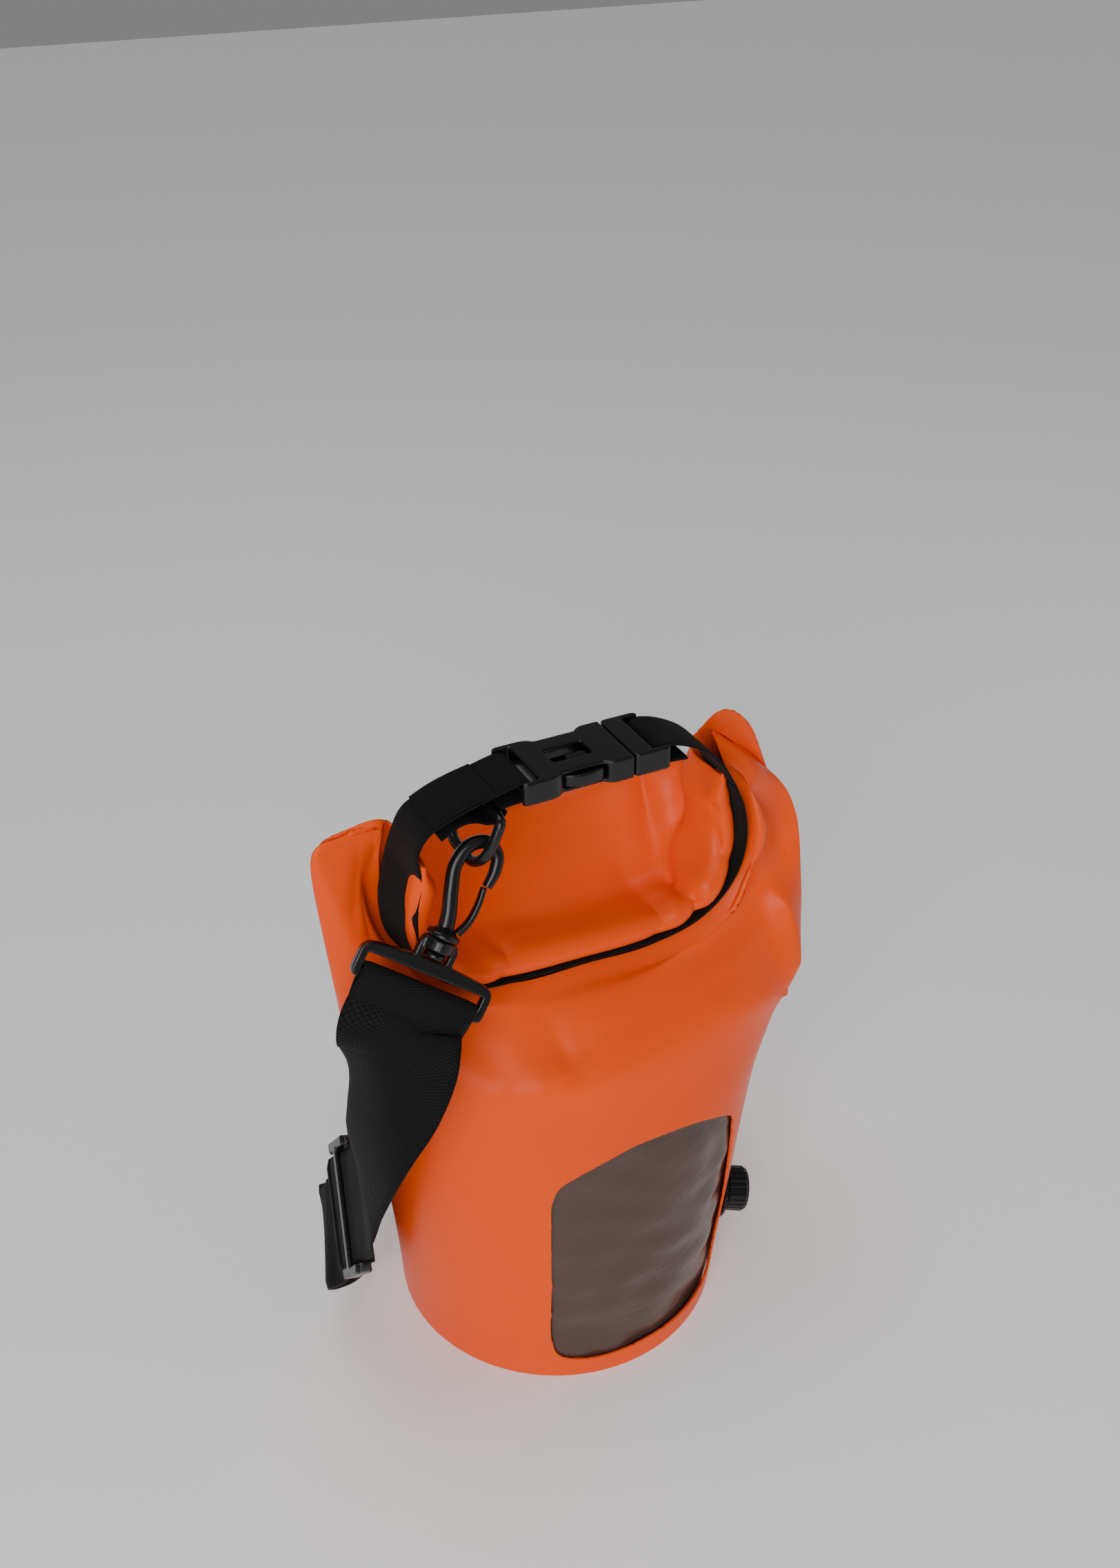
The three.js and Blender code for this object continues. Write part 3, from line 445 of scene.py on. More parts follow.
NET = [oval_row(r) for r in ROWS]
NET.append(mouth_row(-30, -2, -26, 13, -6.5, -9, 0.96, vec(-91, 3, 268), vec(98, -1, 252)))
NET.append(mouth_row(-24.5, 1, -17, 6, -1.9, -5, 0.95, vec(-74, 2, 269.5), vec(76, 4, 271)))
NET = np.array(NET)


def cubic(a, b, c, d, t):
    return 0.5 * (2 * b + (c - a) * t + (2 * a - 5 * b + 4 * c - d) * t * t
                  + (3 * b - a - 3 * c + d) * t ** 3)


def on_bag(u, v):
    """u goes once round from the front towards +X, v from the base (0) to the mouth (1)."""
    rows = len(NET)
    y = min(max(v, 0), 1) * (rows - 1)
    i = min(int(y), rows - 2)
    x = (u % 1) * AROUND
    j = int(x)
    found = []
    for k in (-1, 0, 1, 2):
        row = NET[min(max(i + k, 0), rows - 1)]
        a, b, c, d = (row[(j + q) % AROUND] for q in (-1, 0, 1, 2))
        found.append(cubic(a, b, c, d, x - j))
    return cubic(*found, y - i)


def spread(places, count, closed):
    """Catmull-Rom weights of count control points, one row for each place."""
    table = np.zeros((len(places), count))
    for row, place in enumerate(places):
        i = int(math.floor(place)) if closed else min(int(place), count - 2)
        t = place - i
        parts = [
            0.5 * (-t + 2 * t * t - t ** 3), 0.5 * (2 - 5 * t * t + 3 * t ** 3),
            0.5 * (t + 4 * t * t - 3 * t ** 3), 0.5 * (-t * t + t ** 3),
        ]
        for k, part in enumerate(parts):
            at = i + k - 1
            at = at % count if closed else min(max(at, 0), count - 1)
            table[row, at] += part
    return table


def bag_grid(us, vs):
    across = spread(np.array(us) * AROUND, AROUND, True)
    up = spread(np.array(vs) * (len(NET) - 1), len(NET), False)
    return np.einsum("ai,ijk,bj->abk", up, NET, across)


def grid_normals(rows, wrap):
    if wrap:
        across = np.roll(rows, -1, axis=1) - np.roll(rows, 1, axis=1)
    else:
        across = np.gradient(rows, axis=1)
    up = np.gradient(rows, axis=0)
    n = np.cross(across, up)
    return n / np.maximum(np.linalg.norm(n, axis=2, keepdims=True), 1e-9)


def away(points, path):
    """The distance of each point from a bent line, and how far along the line it is nearest."""
    path = np.array(path, float)
    lengths = np.linalg.norm(np.diff(path, axis=0), axis=1)
    best = np.full(points.shape[:-1], 1e9)
    share = np.zeros(points.shape[:-1])
    run = 0.0
    for a, b, length in zip(path[:-1], path[1:], lengths):
        t = np.clip(((points - a) @ (b - a)) / length ** 2, 0, 1)
        d = np.linalg.norm(points - (a + t[..., None] * (b - a)), axis=-1)
        nearer = d < best
        best = np.where(nearer, d, best)
        share = np.where(nearer, (run + t * length) / lengths.sum(), share)
        run += length
    return best, share


def press(points, normals, path, width, depth, sharp=1.5, fade=0.5):
    """Presses a fold of the given depth into a surface; a negative depth raises a ridge."""
    d, share = away(points, path)
    ends = np.maximum(np.sin(math.pi * (0.04 + 0.92 * share)), 0) ** fade
    return points - normals * (depth * ends * np.exp(-((d / width) ** sharp)))[..., None]


# Folds of the standing bag: the line of each, its width, its depth and how sharp it is.
BAG_FOLDS = [
    ([(-66, -36, 192), (-54, -46, 181), (-46, -54, 169)], 6.5, 8.5, 1.0),
    ([(-45, -55, 168), (-36, -53, 175), (-24, -45, 183)], 5.5, 3.6, 1.2),
    ([(-64, -50, 164), (-46, -58, 158), (-28, -58, 163)], 8.0, -2.4, 1.6),
    ([(-24, -42, 185), (-18, -54, 167)], 6.0, 5.2, 1.0),
    ([(-8, -45, 182), (-14, -55, 168)], 6.0, 1.6, 1.4),
    ([(-30, -57, 159), (-14, -59, 157), (4, -58, 161)], 8.0, -1.6, 1.7),
    ([(103, -38, 151), (99, -26, 190), (86, -24, 238)], 7.0, -5.4, 1.1),
    ([(106, -26, 160), (108, -14, 195), (104, -12, 222)], 7.0, 5.2, 1.2),
    ([(92, -40, 158), (88, -32, 190), (80, -28, 222)], 9.0, 3.0, 1.6),
    ([(102, -38, 150), (78, -48, 163), (46, -52, 168)], 9.0, -2.6, 1.5),
    ([(103, -38, 150), (102, -39, 148)], 10.0, -3.8, 1.7),
    ([(74, -10, 262), (86, -17, 250), (99, -15, 238), (105, -12, 231)], 4.5, 4.6, 1.2),
    ([(76, 0, 270), (89, -8, 258), (101, -8, 244)], 5.0, -2.0, 1.6),
    ([(-77, 2, 260), (-83, -6, 240), (-86, -12, 214)], 3.4, 2.6, 1.3),
    ([(-84, 2, 262), (-90, -5, 236), (-93, -10, 206)], 4.0, 1.6, 1.4),
    ([(-101, 3, 262), (-100, 2, 230), (-97, 0, 196)], 3.0, -1.2, 1.4),
    ([(70, -58, 96), (88, -42, 110), (96, -30, 118)], 12.0, 1.2, 1.6),
    ([(-70, -52, 60), (-50, -62, 52), (-48, -64, 30)], 10.0, 0.8, 1.6),
]


def creased(rows, wrap):
    for path, width, depth, sharp in BAG_FOLDS:
        rows = press(rows, grid_normals(rows, wrap), path, width, depth, sharp)
    return rows


def window_outline():
    """The window's edge as (across, up), in the upright plane that faces it."""
    corners = [
        (-31, 10), (0, 10), (44, 10), (52, 12.5), (56, 22), (57, 60), (58.5, 92), (57.5, 101), (50, 108.5),
        (30, 117.5), (10, 121), (-3, 121.5), (-17, 118.8), (-29, 115), (-36.5, 110.8), (-40, 104),
        (-41.5, 88), (-42.6, 60), (-43, 22), (-40, 13),
    ]
    return even(spline([(x, z, 0) for x, z in corners], True), 240, True)[:, :2]


def inside(point, outline):
    """Whether a flat point is inside a closed outline, by counting the edges to its right."""
    a = outline
    b = np.roll(outline, -1, axis=0)
    over = (a[:, 1] > point[1]) != (b[:, 1] > point[1])
    with np.errstate(divide="ignore", invalid="ignore"):
        cross = a[:, 0] + (point[1] - a[:, 1]) / (b[:, 1] - a[:, 1]) * (b[:, 0] - a[:, 0])
    return bool(np.sum(over & (point[0] < cross)) % 2)


def open_window(rows):
    """Marks the points inside the window and draws those at its edge onto its outline."""
    out = vec(math.sin(WINDOW_TURN), -math.cos(WINDOW_TURN), 0)
    side = vec(math.cos(WINDOW_TURN), math.sin(WINDOW_TURN), 0)
    outline = window_outline()
    levels, columns = rows.shape[:2]
    flat = np.stack([rows @ side, rows[..., 2]], axis=-1)
    facing = rows @ out > 20
    marked = np.zeros((levels, columns), bool)
    for i in range(levels):
        for j in range(columns):
            across, height = flat[i, j]
            if facing[i, j] and abs(across) < WINDOW_REACH and height < WINDOW_HIGHEST:
                marked[i, j] = inside(flat[i, j], outline)
    moved = rows.copy()
    for i in range(1, levels - 1):
        for j in range(columns):
            around = [(i + a, (j + b) % columns) for a in (-1, 0, 1) for b in (-1, 0, 1)]
            if not marked[i, j] or all(marked[a, b] for a, b in around):
                continue
            aim = outline[np.argmin(np.linalg.norm(outline - flat[i, j], axis=1))]
            right = (rows[i, (j + 1) % columns] - rows[i, j - 1]) / 2
            rise = (rows[i + 1, j] - rows[i - 1, j]) / 2
            table = np.array([[right @ side, rise @ side], [right[2], rise[2]]])
            step = np.linalg.solve(table, aim - flat[i, j])
            moved[i, j] = rows[i, j] + right * step[0] + rise * step[1]
    return moved, marked


def bag_body():
    """The welded tube with its folds and its window hole."""
    columns, levels = 288, 200
    rows = bag_grid([j / columns for j in range(columns)], [i / levels for i in range(levels + 1)])
    rows, marked = open_window(creased(rows, True))
    faces = []
    for i in range(levels):
        for j in range(columns):
            k = (j + 1) % columns
            corners = [(i, j), (i, k), (i + 1, k), (i + 1, j)]
            if all(marked[a, b] for a, b in corners):
                continue
            faces.append(tuple(a * columns + b for a, b in corners))
    skin = fix_normals(make("bag_body", rows.reshape(-1, 3), faces, FABRIC))
    thicken(skin, SKIN_THICK, -1)
    bake(skin)
    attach(skin, "bag")
    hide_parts("body_shell")
    return skin


def bag_window():
    """The film is welded behind the opening, a little slack."""
    columns, levels = 80, 70
    us = [-0.100 + 0.268 * j / columns for j in range(columns + 1)]
    vs = [0.035 + 0.41 * i / levels for i in range(levels + 1)]
    rows = bag_grid(us, vs)
    normals = grid_normals(rows, False)
    x, z = rows[..., 0], rows[..., 2]
    drift = 2.4 * np.sin(z * 0.043 + 0.5) + 1.6 * np.sin(x * 0.061 + z * 0.027)
    wave = 0.55 * np.sin(z * 0.12 + drift) + 0.35 * np.sin(x * 0.16 - z * 0.05 + 1.7 * drift)
    wave += 0.25 * np.sin(x * 0.09 + z * 0.31 - drift)
    behind = 2.6
    sheet = grid("bag_window", rows - normals * (behind - wave)[..., None], SMOKE_AND_PAINTED_SHADE)
    fix_normals(sheet)
    thicken(sheet, FILM_THICK, 0)
    bake(sheet)
    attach(sheet, "bag")
    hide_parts("window_sheet")
    return sheet


# ---------- the rolled mouth and the folded top behind it ----------
def ridge(s):
    """The back edge of the folded top. At its two ends it climbs to the arms' tops."""
    turn = 1 - 0.5 * s
    level = 7 / 9 + 2 / 9 * ease(abs(s), 0.6, 0.98)
    rise = 3 + 14 * ease(s, 0, 0.5) * (1 - ease(s, 0.84, 0.98))
    return on_bag(turn / 2, level) + vec(0, 0, rise * (1 - ease(abs(s), 0.9, 1)))


def roll_profile(s):
    """From under the roll's front edge, over the roll, to the ridge and down onto the back."""
    far = ease(abs(s), 0.55, 1)
    set_back = 5.5 * ease(s, 0.45, 0.8)
    thin = 1 - 0.85 * ease(abs(s), 0.88, 1)
    back = ridge(s)
    crown = on_neck(s, 12.5 * thin, 3)
    middle = (crown + back) / 2 + vec(0, 3 + 2 * far, 2.5 - 2 * far)
    skirt = on_bag((1 - 0.5 * s) / 2, 0.70 + 0.2 * ease(abs(s), 0.7, 1)) + vec(0, 2.0, 0)
    return [
        on_neck(s, 1.2 * thin, -15),
        on_neck(s, 1.3 * thin, -23 + set_back),
        on_neck(s, 3.4 * thin, -25.2 + set_back),
        on_neck(s, 7.2 * thin, -25.4 + set_back),
        on_neck(s, 10.9 * thin, -22 + set_back),
        on_neck(s, 12.3 * thin, -12),
        crown, middle, back, skirt,
    ]


# Folds of the rolled mouth: the line of each as (place along the mouth, place from front to back),
# its width, its depth and how sharp it is.
ROLL_FOLDS = [
    ([(0.40, 0.10), (0.43, 0.35), (0.42, 0.60), (0.34, 0.85)], 3.2, 7.5, 1.0),
    ([(0.45, 0.10), (0.50, 0.35), (0.50, 0.60), (0.42, 0.85)], 6.0, -2.4, 1.6),
    ([(0.24, 0.12), (0.27, 0.40), (0.25, 0.70)], 5.0, 2.2, 1.3),
    ([(0.33, 0.10), (0.35, 0.40), (0.31, 0.75)], 4.5, -1.4, 1.6),
    ([(0.62, 0.12), (0.70, 0.40), (0.74, 0.80)], 4.5, 3.4, 1.2),
    ([(0.84, 0.15), (0.85, 0.45), (0.83, 0.85)], 5.0, 3.2, 1.3),
    ([(-0.30, 0.12), (-0.27, 0.40), (-0.30, 0.72)], 4.0, 2.6, 1.2),
    ([(-0.36, 0.10), (-0.34, 0.40), (-0.38, 0.70)], 5.5, -1.8, 1.6),
    ([(-0.46, 0.12), (-0.44, 0.45), (-0.52, 0.80)], 4.0, 2.4, 1.3),
    ([(-0.66, 0.12), (-0.62, 0.45), (-0.60, 0.80)], 4.0, 2.6, 1.2),
    ([(-0.80, 0.12), (-0.76, 0.45), (-0.74, 0.80)], 4.0, 2.2, 1.3),
    ([(-0.20, 0.62), (0.00, 0.58), (0.20, 0.62)], 9.0, 1.2, 1.7),
]


def rolled_top():
    """The rolled mouth, bent into a U, and the folded top behind it, as one skin."""
    columns, steps = 260, 90
    rows = []
    for i in range(columns + 1):
        s = -ROLL_REACH + 2 * ROLL_REACH * i / columns
        curve = spline(roll_profile(s))
        rows.append([curve(k / steps) for k in range(steps + 1)])
    rows = np.array(rows)
    across = np.gradient(rows, axis=0)
    normals = np.cross(np.gradient(rows, axis=1), across)
    normals /= np.maximum(np.linalg.norm(normals, axis=2, keepdims=True), 1e-9)
    if normals[columns // 2, steps // 2, 2] < 0:
        normals = -normals
    for line, width, depth, sharp in ROLL_FOLDS:
        places = [(round((s / ROLL_REACH + 1) / 2 * columns), round(w * steps)) for s, w in line]
        crease = spline([rows[i, k] for i, k in places])
        path = [crease(t / 12) for t in range(13)]
        rows = press(rows, normals, path, width, depth, sharp)
    top = grid("rolled_top", rows, FABRIC)
    fix_normals(top)
    thicken(top, ROLL_SKIN, 0)
    bake(top)
    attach(top, "bag")
    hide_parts("rolled_closure")
    return top


# ---------- bands of webbing ----------
def frames_along(points, guides, steps):
    """Places along a path, each with its directions along, across and out of the band."""
    curve, guide = spline(points), spline(guides)
    out = []
    for i in range(steps + 1):
        t = i / steps
        e = 1e-4
        along = unit(curve(min(t + e, 1)) - curve(max(t - e, 0)))
        wide = guide(t)
        wide = unit(wide - along * float(wide @ along))
        out.append((curve(t), along, wide, np.cross(wide, along)))
    return out


def band(name, frames, width, thick, mat, shift=0.0):
    """A flat band with rounded edges; its map gives metres across and along."""
    across = 14
    rings, uv = [], []
    run = 0.0
    last = frames[0][0]
    for at, along, wide, out in frames:
        run += float(np.linalg.norm(at - last))
        last = at
        ring = []
        loop = [(k / across - 0.5, 0.5) for k in range(across + 1)]
        loop += [(0.5 - k / across, -0.5) for k in range(across + 1)]
        for a, b in loop:
            edge = 1 - 0.55 * max(0.0, (abs(a) - 0.47) / 0.03)
            ring.append(at + wide * a * width + out * (shift + b * thick * edge))
            uv.append(((a + 0.5) * width * MM, run * MM))
        rings.append(ring)
    return ring_loft(name, rings, mat, uv=uv)


def at_depth(points, y):
    """Stands an (x, z) path up at one depth."""
    return [(x, y, z) for x, z in points]


def closure_band():
    """The webbing from the buckle's socket, down the left arm, under the roll and up the right arm."""
    wrap = [(-36, 281.8), (-30.4, 282.2), (-26, 282.6), (-23.5, 283.9), (-22.7, 286.4),
            (-23.5, 288.9), (-26, 290.2), (-30, 289.7)]
    points = at_depth(wrap + U_PATH[1:], CLOSURE_Y)
    turned_arm = unit(vec(-0.26, 0.97, 0))
    on_left_arm = [x < -61 and z < 262 for x, y, z in points]
    guides = [turned_arm if left else vec(0, 1, 0) for left in on_left_arm]
    frames = frames_along(points, guides, 260)
    web = band("closure_band", frames, CLOSURE_WIDTH, CLOSURE_THICK, WEB)
    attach(web, "bag")
    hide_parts("closure_webbing")
    return web


def closure_layer():
    """The second layer sewn over the webbing's top run, with its fold at the corner."""
    points = at_depth([(-38, 287.4), (-45, 286), (-52, 284.2), (-58, 282), (-63, 279.6)], CLOSURE_Y)
    frames = frames_along(points, [vec(0, 1, 0)] * len(points), 60)
    sign = 1 if frames[30][3][2] > 0 else -1
    web = band("closure_layer", frames, CLOSURE_WIDTH - 0.6, 1.3, WEB, sign * 1.45)
    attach(web, "bag")
    return web


def closure_end():
    """The loose end at the right, up to the buckle's plug and back."""
    wrap = [(35, 290.2), (32.5, 288.9), (31.7, 286.4), (32.5, 283.9), (35, 282.6), (40, 282.2),
            (46, 281.6)]
    points = at_depth(TAIL_PATH + wrap, CLOSURE_Y)
    frames = frames_along(points, [vec(0, 1, 0)] * len(points), 120)
    web = band("closure_end", frames, CLOSURE_WIDTH, CLOSURE_THICK, WEB)
    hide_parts("closure_tail")
    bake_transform(web)
    return web


def ring_band():
    """The short tab that holds the upper ring."""
    path = [(-61, 274.6), (-52, 279), (-46, 278.4), (-42, 276.4), (-38.6, 275.9), (-35.4, 277.2),
            (-33.6, 279.9)]
    points = at_depth(path, CLOSURE_Y)
    frames = frames_along(points, [vec(0, 1, 0)] * len(points), 60)
    web = band("ring_band", frames, CLOSURE_WIDTH, 1.2, WEB)
    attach(web, "bag")
    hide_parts("ring_tab")
    return web


# ---------- swept bars, rings and hooks ----------
def swept(name, points, sizes, mat, normal, closed=False, count=90, power=0.7):
    """A bar along points with an oval section; each size is (in the plane of normal, along normal)."""
    curve = spline(points, closed)
    size_curve = spline([(a, b, 0) for a, b in sizes], closed)
    ts = [i / count for i in range(count if closed else count + 1)]
    pts = np.array([curve(t) for t in ts])
    along = tangents(pts, closed)
    rings = []
    for t, p, d in zip(ts, pts, along):
        side = unit(np.cross(d, normal))
        up = unit(np.cross(side, d))
        a, b = size_curve(t)[:2]
        ring = []
        for k in range(16):
            turn = 2 * math.pi * k / 16
            c, q = math.cos(turn), math.sin(turn)
            c = math.copysign(abs(c) ** power, c)
            q = math.copysign(abs(q) ** power, q)
            ring.append(p + side * c * a / 2 + up * q * b / 2)
        rings.append(ring)
    return ring_loft(name, rings, mat, closed=closed)


def wire_ring(name, bar, bar_dir, hang, node, body):
    """A moulded D ring; bar is the middle of its straight side, hang the way it hangs."""
    w, h = RING_WIDTH / 2, RING_HEIGHT
    shape = [
        (-w + 3, 0), (0, 0), (w - 3, 0), (w - 0.6, -0.9), (w, -4), (w, -h * 0.55), (w - 2.2, -h + 5),
        (w - 7.5, -h + 0.8), (0, -h), (-w + 7.5, -h + 0.8), (-w + 2.2, -h + 5), (-w, -h * 0.55),
        (-w, -4), (-w + 0.6, -0.9),
    ]
    points = [bar + bar_dir * a - hang * b for a, b in shape]
    size = [(2 * RING_WIRE, 2 * RING_WIRE)] * len(points)
    normal = unit(np.cross(bar_dir, hang))
    ring = swept(name, points, size, PLASTIC, normal, closed=True, count=150, power=1.0)
    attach(ring, body)
    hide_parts(node)
    return ring


def turned(name, profile, origin, axis, mat, segments=40):
    """A lathed piece; the profile is (radius, height) pairs along the axis."""
    side = unit(np.cross(axis, vec(0.3, 0.5, 0.8)))
    other = np.cross(axis, side)
    rings = []
    for r, h in profile:
        ring = []
        for k in range(segments):
            turn = 2 * math.pi * k / segments
            ring.append(origin + axis * h + (side * math.cos(turn) + other * math.sin(turn)) * max(r, 0.01))
        rings.append(ring)
    return ring_loft(name, rings, mat)


# The snap hook in its own plane. The strap frame's bar is at 0 and the ring hangs in the eye, at
# y = EYE. Sizes are (in the plane, across it).
HOOK_SPINE = [
    (0, 24.0), (-1.6, 32), (-5.2, 42), (-7.6, 51), (-5.8, 59.4), (0, 63.4), (5.8, 60.6), (7.8, 54.5),
    (7.6, 47.6),
]
HOOK_SIZES = [
    (6.6, 6.2), (6, 6), (5.7, 5.8), (5.4, 5.6), (5.4, 5.6), (5.5, 5.6), (5, 5.4), (4.8, 5), (3.8, 4.4),
]
GATE_LINE = [(4.7, 26.6), (6.8, 32), (7.4, 39), (6.6, 46.9)]
GATE_SIZES = [(3.2, 4.6), (2.8, 4.4), (2.6, 4.2), (2.4, 3.6)]
COLLAR = [
    (0, 14.6), (4.0, 14.6), (4.4, 15.2), (4.2, 17.0), (2.8, 17.2), (2.8, 22.7), (6.2, 22.9), (6.8, 23.5),
    (6.6, 25.0), (4.6, 25.8), (3.4, 27.5), (0, 27.6),
]


def hook(prefix, origin, x, y, hook_node, gate_node, hook_body, gate_body):
    """A snap hook with its swivel collar and its sprung gate."""
    z = np.cross(x, y)

    def local(points):
        return [origin + x * a + y * b for a, b in points]

    spine = swept(prefix + "_hook", local(HOOK_SPINE), HOOK_SIZES, PLASTIC, z, count=110, power=0.8)
    collar = turned(prefix + "_collar", COLLAR, origin, y, PLASTIC)
    gate = swept(prefix + "_gate", local(GATE_LINE), GATE_SIZES, PLASTIC, z, count=50, power=0.7)
    for piece in (spine, collar):
        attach(piece, hook_body)
    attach(gate, gate_body)
    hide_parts(hook_node)
    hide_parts(gate_node)


def strap_fold(name, origin, width_dir, y, length, node, body):
    """The end of the shoulder strap, folded round the frame's bar and sewn down."""
    out = np.cross(width_dir, y)
    under = [(-length, -1.0), (-9.5, -1.15), (-5.5, -2.7), (-1.0, -3.6), (2.4, -2.9)]
    loop = under + [(3.7, 0)] + [(a, -b) for a, b in reversed(under)]
    points = [origin + y * a + out * b for a, b in loop]
    frames = frames_along(points, [width_dir] * len(points), 90)
    web = band(name, frames, STRAP_WIDTH, 1.5, WIDE_WEB)
    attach(web, body)
    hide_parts(node)
    return web


# ---------- where the hooks and rings are ----------
UPPER_BAR = vec(-38.6, CLOSURE_Y - 1.5, 280.2)
UPPER_HANG = unit(vec(-0.42, 0, -0.907))
UPPER_POINTS = unit(vec(0.589, 0.225, 0.777))
UPPER_X = unit(vec(0.795, -0.33, -0.507))
UPPER_Z = unit(np.cross(UPPER_X, UPPER_POINTS))
UPPER_Y = unit(np.cross(UPPER_Z, UPPER_X))
UPPER_ORIGIN = UPPER_BAR + UPPER_HANG * 20 + vec(0, -12.6, 0) - UPPER_POINTS * EYE

LOWER_TURN = math.radians(205.5)
LOWER_OUT = vec(math.sin(LOWER_TURN), -math.cos(LOWER_TURN), 0)
LOWER_ALONG = vec(-math.cos(LOWER_TURN), -math.sin(LOWER_TURN), 0)
LOWER_BAR = vec(18.171, 79.003, LOWER_HEIGHT)
LOWER_EYE = vec(-4, 93.5, LOWER_HEIGHT)
LOWER_HANG = unit(LOWER_EYE - LOWER_BAR)
LOWER_ORIGIN = LOWER_BAR + LOWER_HANG * RING_HEIGHT - LOWER_ALONG * EYE

GLIDE_AT = vec(-105.5, -12, 90.4)
GLIDE_ALONG = unit(vec(-0.05, 0.642, -0.765))
GLIDE_WIDE = vec(-0.2, -0.75, -0.63)


def strap_frames():
    """The shoulder strap's route as rows of (middle of the band, direction across it)."""
    start = UPPER_ORIGIN - UPPER_Y * 10.2
    end = LOWER_ORIGIN - LOWER_ALONG * 13.2
    down = vec(0, 0, -1)
    rows = [
        (start, UPPER_X), (start - UPPER_Y * 5, vec(0.8, -0.36, -0.48)),
        (vec(-91, -46, 194.5), vec(0.68, -0.64, -0.33)),
        (vec(-94.2, -46.4, 182.5), vec(0.5, -0.85, -0.1)),
        (vec(-98.8, -44, 166.4), vec(0.22, -0.97, -0.03)),
        (vec(-103.6, -40, 147.6), vec(0, -0.97, -0.22)),
        (vec(-105.8, -34, 128.5), vec(-0.12, -0.88, -0.45)),
        (GLIDE_AT - GLIDE_ALONG * 25, GLIDE_WIDE), (GLIDE_AT - GLIDE_ALONG * 12.5, GLIDE_WIDE),
        (GLIDE_AT, GLIDE_WIDE),
        (GLIDE_AT + GLIDE_ALONG * 12.5, GLIDE_WIDE), (GLIDE_AT + GLIDE_ALONG * 25, GLIDE_WIDE),
        (vec(-104.1, 11.8, 54.1), vec(-0.22, -0.79, -0.57)),
        (vec(-107.1, 17.9, 45.5), vec(-0.31, -0.69, -0.65)),
        (vec(-103.4, 27.9, 33.0), vec(-0.16, -0.73, -0.67)),
        (vec(-95.3, 31.0, 30.9), vec(0.10, -0.48, -0.87)),
        (vec(-87.2, 35.9, 31.3), vec(-0.05, -0.18, -0.98)),
        (vec(-79.4, 42.8, 34.5), vec(-0.05, -0.15, -0.99)),
        (vec(-71.5, 50.5, 38.7), vec(0.07, 0.06, -1.0)),
        (end - LOWER_ALONG * 6, down), (end, down),
    ]
    return frames_along([r[0] for r in rows], [r[1] for r in rows], STRAP_STEPS)


def piece_of_strap(name, frames, layers, bodies, node):
    """A span that rides one body, or runs from the first body at its start to the second and is left
    unattached.
    """
    web = band(name, frames, STRAP_WIDTH, STRAP_THICK * layers + 0.2 * (layers - 1), WIDE_WEB)
    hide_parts(node)
    if bodies[0] == bodies[1]:
        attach(web, bodies[0])
    else:
        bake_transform(web)
    return web


def shoulder_strap():
    """One band from hook to hook. Its ends are cut where it follows each of the hooks' joints in turn."""
    frames = strap_frames()
    on_bag_from = 110
    past_slider = [float((at - GLIDE_AT) @ GLIDE_ALONG) > 22 for at, along, wide, out in frames]
    middle = next(i for i in range(on_bag_from, STRAP_STEPS) if past_slider[i])
    spans = [
        ("strap_a", 0, 16, 1, ("frame_upper", "hook_upper"), "shoulder_strap"),
        ("strap_b", 16, 44, 1, ("hook_upper", "ring_upper"), "shoulder_strap"),
        ("strap_c", 44, on_bag_from, 1, ("ring_upper", "bag"), "shoulder_strap"),
        ("strap_d", on_bag_from, middle, 1, ("bag", "bag"), "shoulder_strap"),
        ("strap_e", middle, 305, 2, ("bag", "bag"), "strap_doubled"),
        ("strap_f", 305, 345, 2, ("bag", "ring_lower"), "strap_doubled"),
        ("strap_g", 345, 375, 2, ("ring_lower", "hook_lower"), "strap_doubled"),
        ("strap_h", 375, STRAP_STEPS, 2, ("hook_lower", "frame_lower"), "strap_doubled"),
    ]
    for name, a, b, layers, bodies, node in spans:
        piece_of_strap(name, frames[a:b + 1], layers, bodies, node)


def lower_tab_band():
    """The tab at the back that wraps the lower ring's bar."""
    out = unit(vec(LOWER_BAR[0], LOWER_BAR[1], 0))
    ahead = vec(-out[1], out[0], 0)
    reach = RING_WIRE + 0.95

    def wall(du, depth):
        u = 168 / 360 + du
        p = on_bag(u, 0.172)
        p = p + unit(vec(p[0], p[1], 0)) * depth
        return vec(p[0], p[1], LOWER_HEIGHT)

    points = [
        wall(-0.085, 3.2), wall(-0.06, 3.2), wall(-0.03, 3.2),
        LOWER_BAR - out * reach, LOWER_BAR + ahead * reach, LOWER_BAR + out * reach,
        LOWER_BAR - ahead * 6.5 + out * 0.6,
        wall(-0.035, 5), wall(-0.06, 4.5), wall(-0.08, 4.5),
    ]
    frames = frames_along(points, [UP] * len(points), 120)
    web = band("lower_tab_band", frames, 24, 1.0, WEB)
    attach(web, "bag")
    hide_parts("lower_tab")


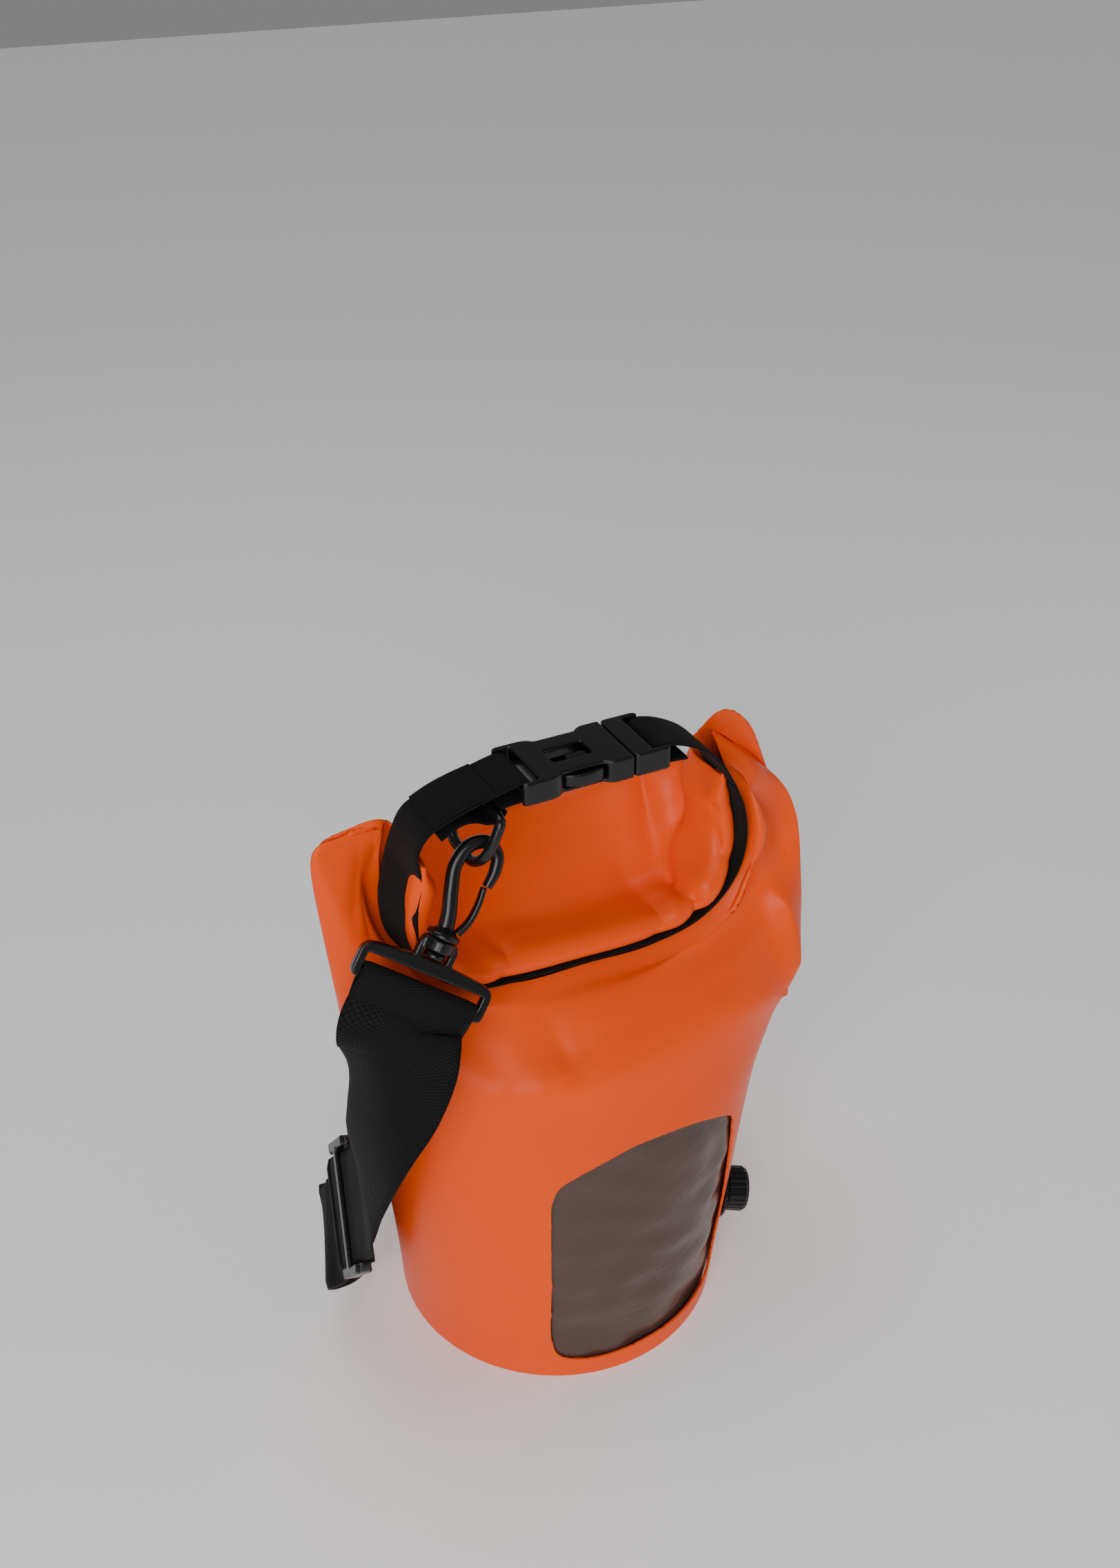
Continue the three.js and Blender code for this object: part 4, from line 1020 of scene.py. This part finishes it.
def valve():
    """A screw cap with a ribbed grip, low on the right."""
    p = on_bag(VALVE_U, VALVE_V)
    around = on_bag(VALVE_U + 0.004, VALVE_V) - on_bag(VALVE_U - 0.004, VALVE_V)
    rise = on_bag(VALVE_U, VALVE_V + 0.004) - on_bag(VALVE_U, VALVE_V - 0.004)
    axis = unit(np.cross(around, rise))
    side = unit(np.cross(axis, UP))
    other = np.cross(axis, side)
    profile = [
        (0.01, 8.6, 0), (5.6, 8.6, 0), (5.6, 2.9, 0), (10.0, 2.9, 0), (10.7, 3.6, 0.35), (10.8, 11.6, 0.4),
        (9.9, 13.3, 0.2), (7.6, 14.1, 0), (7.0, 13.6, 0), (0.01, 13.6, 0),
    ]
    ribs, per_rib = 24, 6
    count = ribs * per_rib
    rings = []
    for r, h, groove in profile:
        ring = []
        for k in range(count):
            turn = 2 * math.pi * k / count
            grip = r - groove * (1 if k % per_rib < 2 else 0)
            ring.append(p + axis * h + (side * math.cos(turn) + other * math.sin(turn)) * grip)
        rings.append(ring)
    knob = ring_loft("valve_cap", rings, PLASTIC, smooth=False)
    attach(knob, "knob")
    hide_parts("valve_knob")


def dress(node, mat, edge=0.0):
    """A CAD piece keeps its shape; edge says how far a moulded one's edges are melted."""
    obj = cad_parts[node]
    obj.data.materials.clear()
    obj.data.materials.append(mat)
    weld = obj.modifiers.new("weld", "WELD")
    weld.merge_threshold = 0.00001
    if edge:
        remesh = obj.modifiers.new("even", "REMESH")
        remesh.mode = "VOXEL"
        remesh.voxel_size = 0.00045
        remesh.use_smooth_shade = True
        melt = obj.modifiers.new("melt", "SMOOTH")
        melt.factor = 0.5
        melt.iterations = round(edge * 8)


# ---------- the room ----------
def room():
    floor_mat = material("pale_floor", (0.92, 0.92, 0.92), 0.7)
    floor_shader = floor_mat.node_tree.nodes["Principled BSDF"]
    floor_shader.inputs["Emission Color"].default_value = (1, 1, 1, 1)
    floor_shader.inputs["Emission Strength"].default_value = 0.18
    bpy.ops.mesh.primitive_plane_add(size=8, location=(0, 0, -0.0002))
    floor = bpy.context.object
    floor.name = "floor"
    floor.data.materials.append(floor_mat)
    world = bpy.data.worlds.new("studio")
    bpy.context.scene.world = world
    world.use_nodes = True
    world.node_tree.nodes["Background"].inputs["Color"].default_value = (1, 1, 1, 1)
    world.node_tree.nodes["Background"].inputs["Strength"].default_value = 0.22
    for name, place, size, power in [
        ("key", (-0.85, -1.15, 0.75), 0.9, 16),
        ("fill", (1.3, -0.7, 0.6), 1.0, 2.5),
        ("top", (-0.2, 0.3, 1.7), 0.9, 6),
    ]:
        data = bpy.data.lights.new(name, "AREA")
        data.size = size
        data.energy = power
        lamp = bpy.data.objects.new(name, data)
        lamp.location = place
        aim = Vector((0, 0, 0.15)) - Vector(place)
        lamp.rotation_euler = aim.to_track_quat("-Z", "Y").to_euler()
        bpy.context.scene.collection.objects.link(lamp)


def camera():
    data = bpy.data.cameras.new("camera")
    data.sensor_width = 36
    data.sensor_fit = "AUTO"
    data.lens = 38.0
    data.clip_start = 0.01
    cam = bpy.data.objects.new("camera", data)
    cam.location = (-0.2549, -0.5046, 0.6225)
    cam.rotation_euler = (math.radians(57.92), 0, math.radians(-27))
    bpy.context.scene.collection.objects.link(cam)
    bpy.context.scene.camera = cam


# ---------- assembly ----------
room()
camera()
bag_body()
bag_window()
rolled_top()
closure_band()
closure_layer()
closure_end()
ring_band()
wire_ring("ring_top", UPPER_BAR, vec(0, 1, 0), UPPER_HANG, "upper_ring", "ring_upper")
wire_ring("ring_low", LOWER_BAR, UP, LOWER_HANG, "lower_ring", "ring_lower")
hook("upper", UPPER_ORIGIN, UPPER_X, UPPER_Y, "upper_hook", "upper_gate", "hook_upper", "gate_upper")
hook("lower", LOWER_ORIGIN, LOWER_OUT, LOWER_ALONG, "lower_hook", "lower_gate", "hook_lower", "gate_lower")
strap_fold("strap_fold_upper", UPPER_ORIGIN, UPPER_X, UPPER_Y, 10.4, "strap_end_upper", "frame_upper")
strap_fold("strap_fold_lower", LOWER_ORIGIN, UP, LOWER_ALONG, 13, "strap_end_lower", "frame_lower")
shoulder_strap()
lower_tab_band()
valve()
dress("base_panel", FABRIC, 0.3)
dress("back_seam_tape", FABRIC)
dress("lower_patch", FABRIC)
for hard in ("buckle_socket", "buckle_plug", "buckle_prong_front", "buckle_prong_back"):
    dress(hard, PLASTIC, 1.0)
for hard in ("upper_frame", "lower_frame", "strap_slider"):
    dress(hard, PLASTIC, 0.8)
for hard in ("valve_body", "valve_nut"):
    dress(hard, PLASTIC)
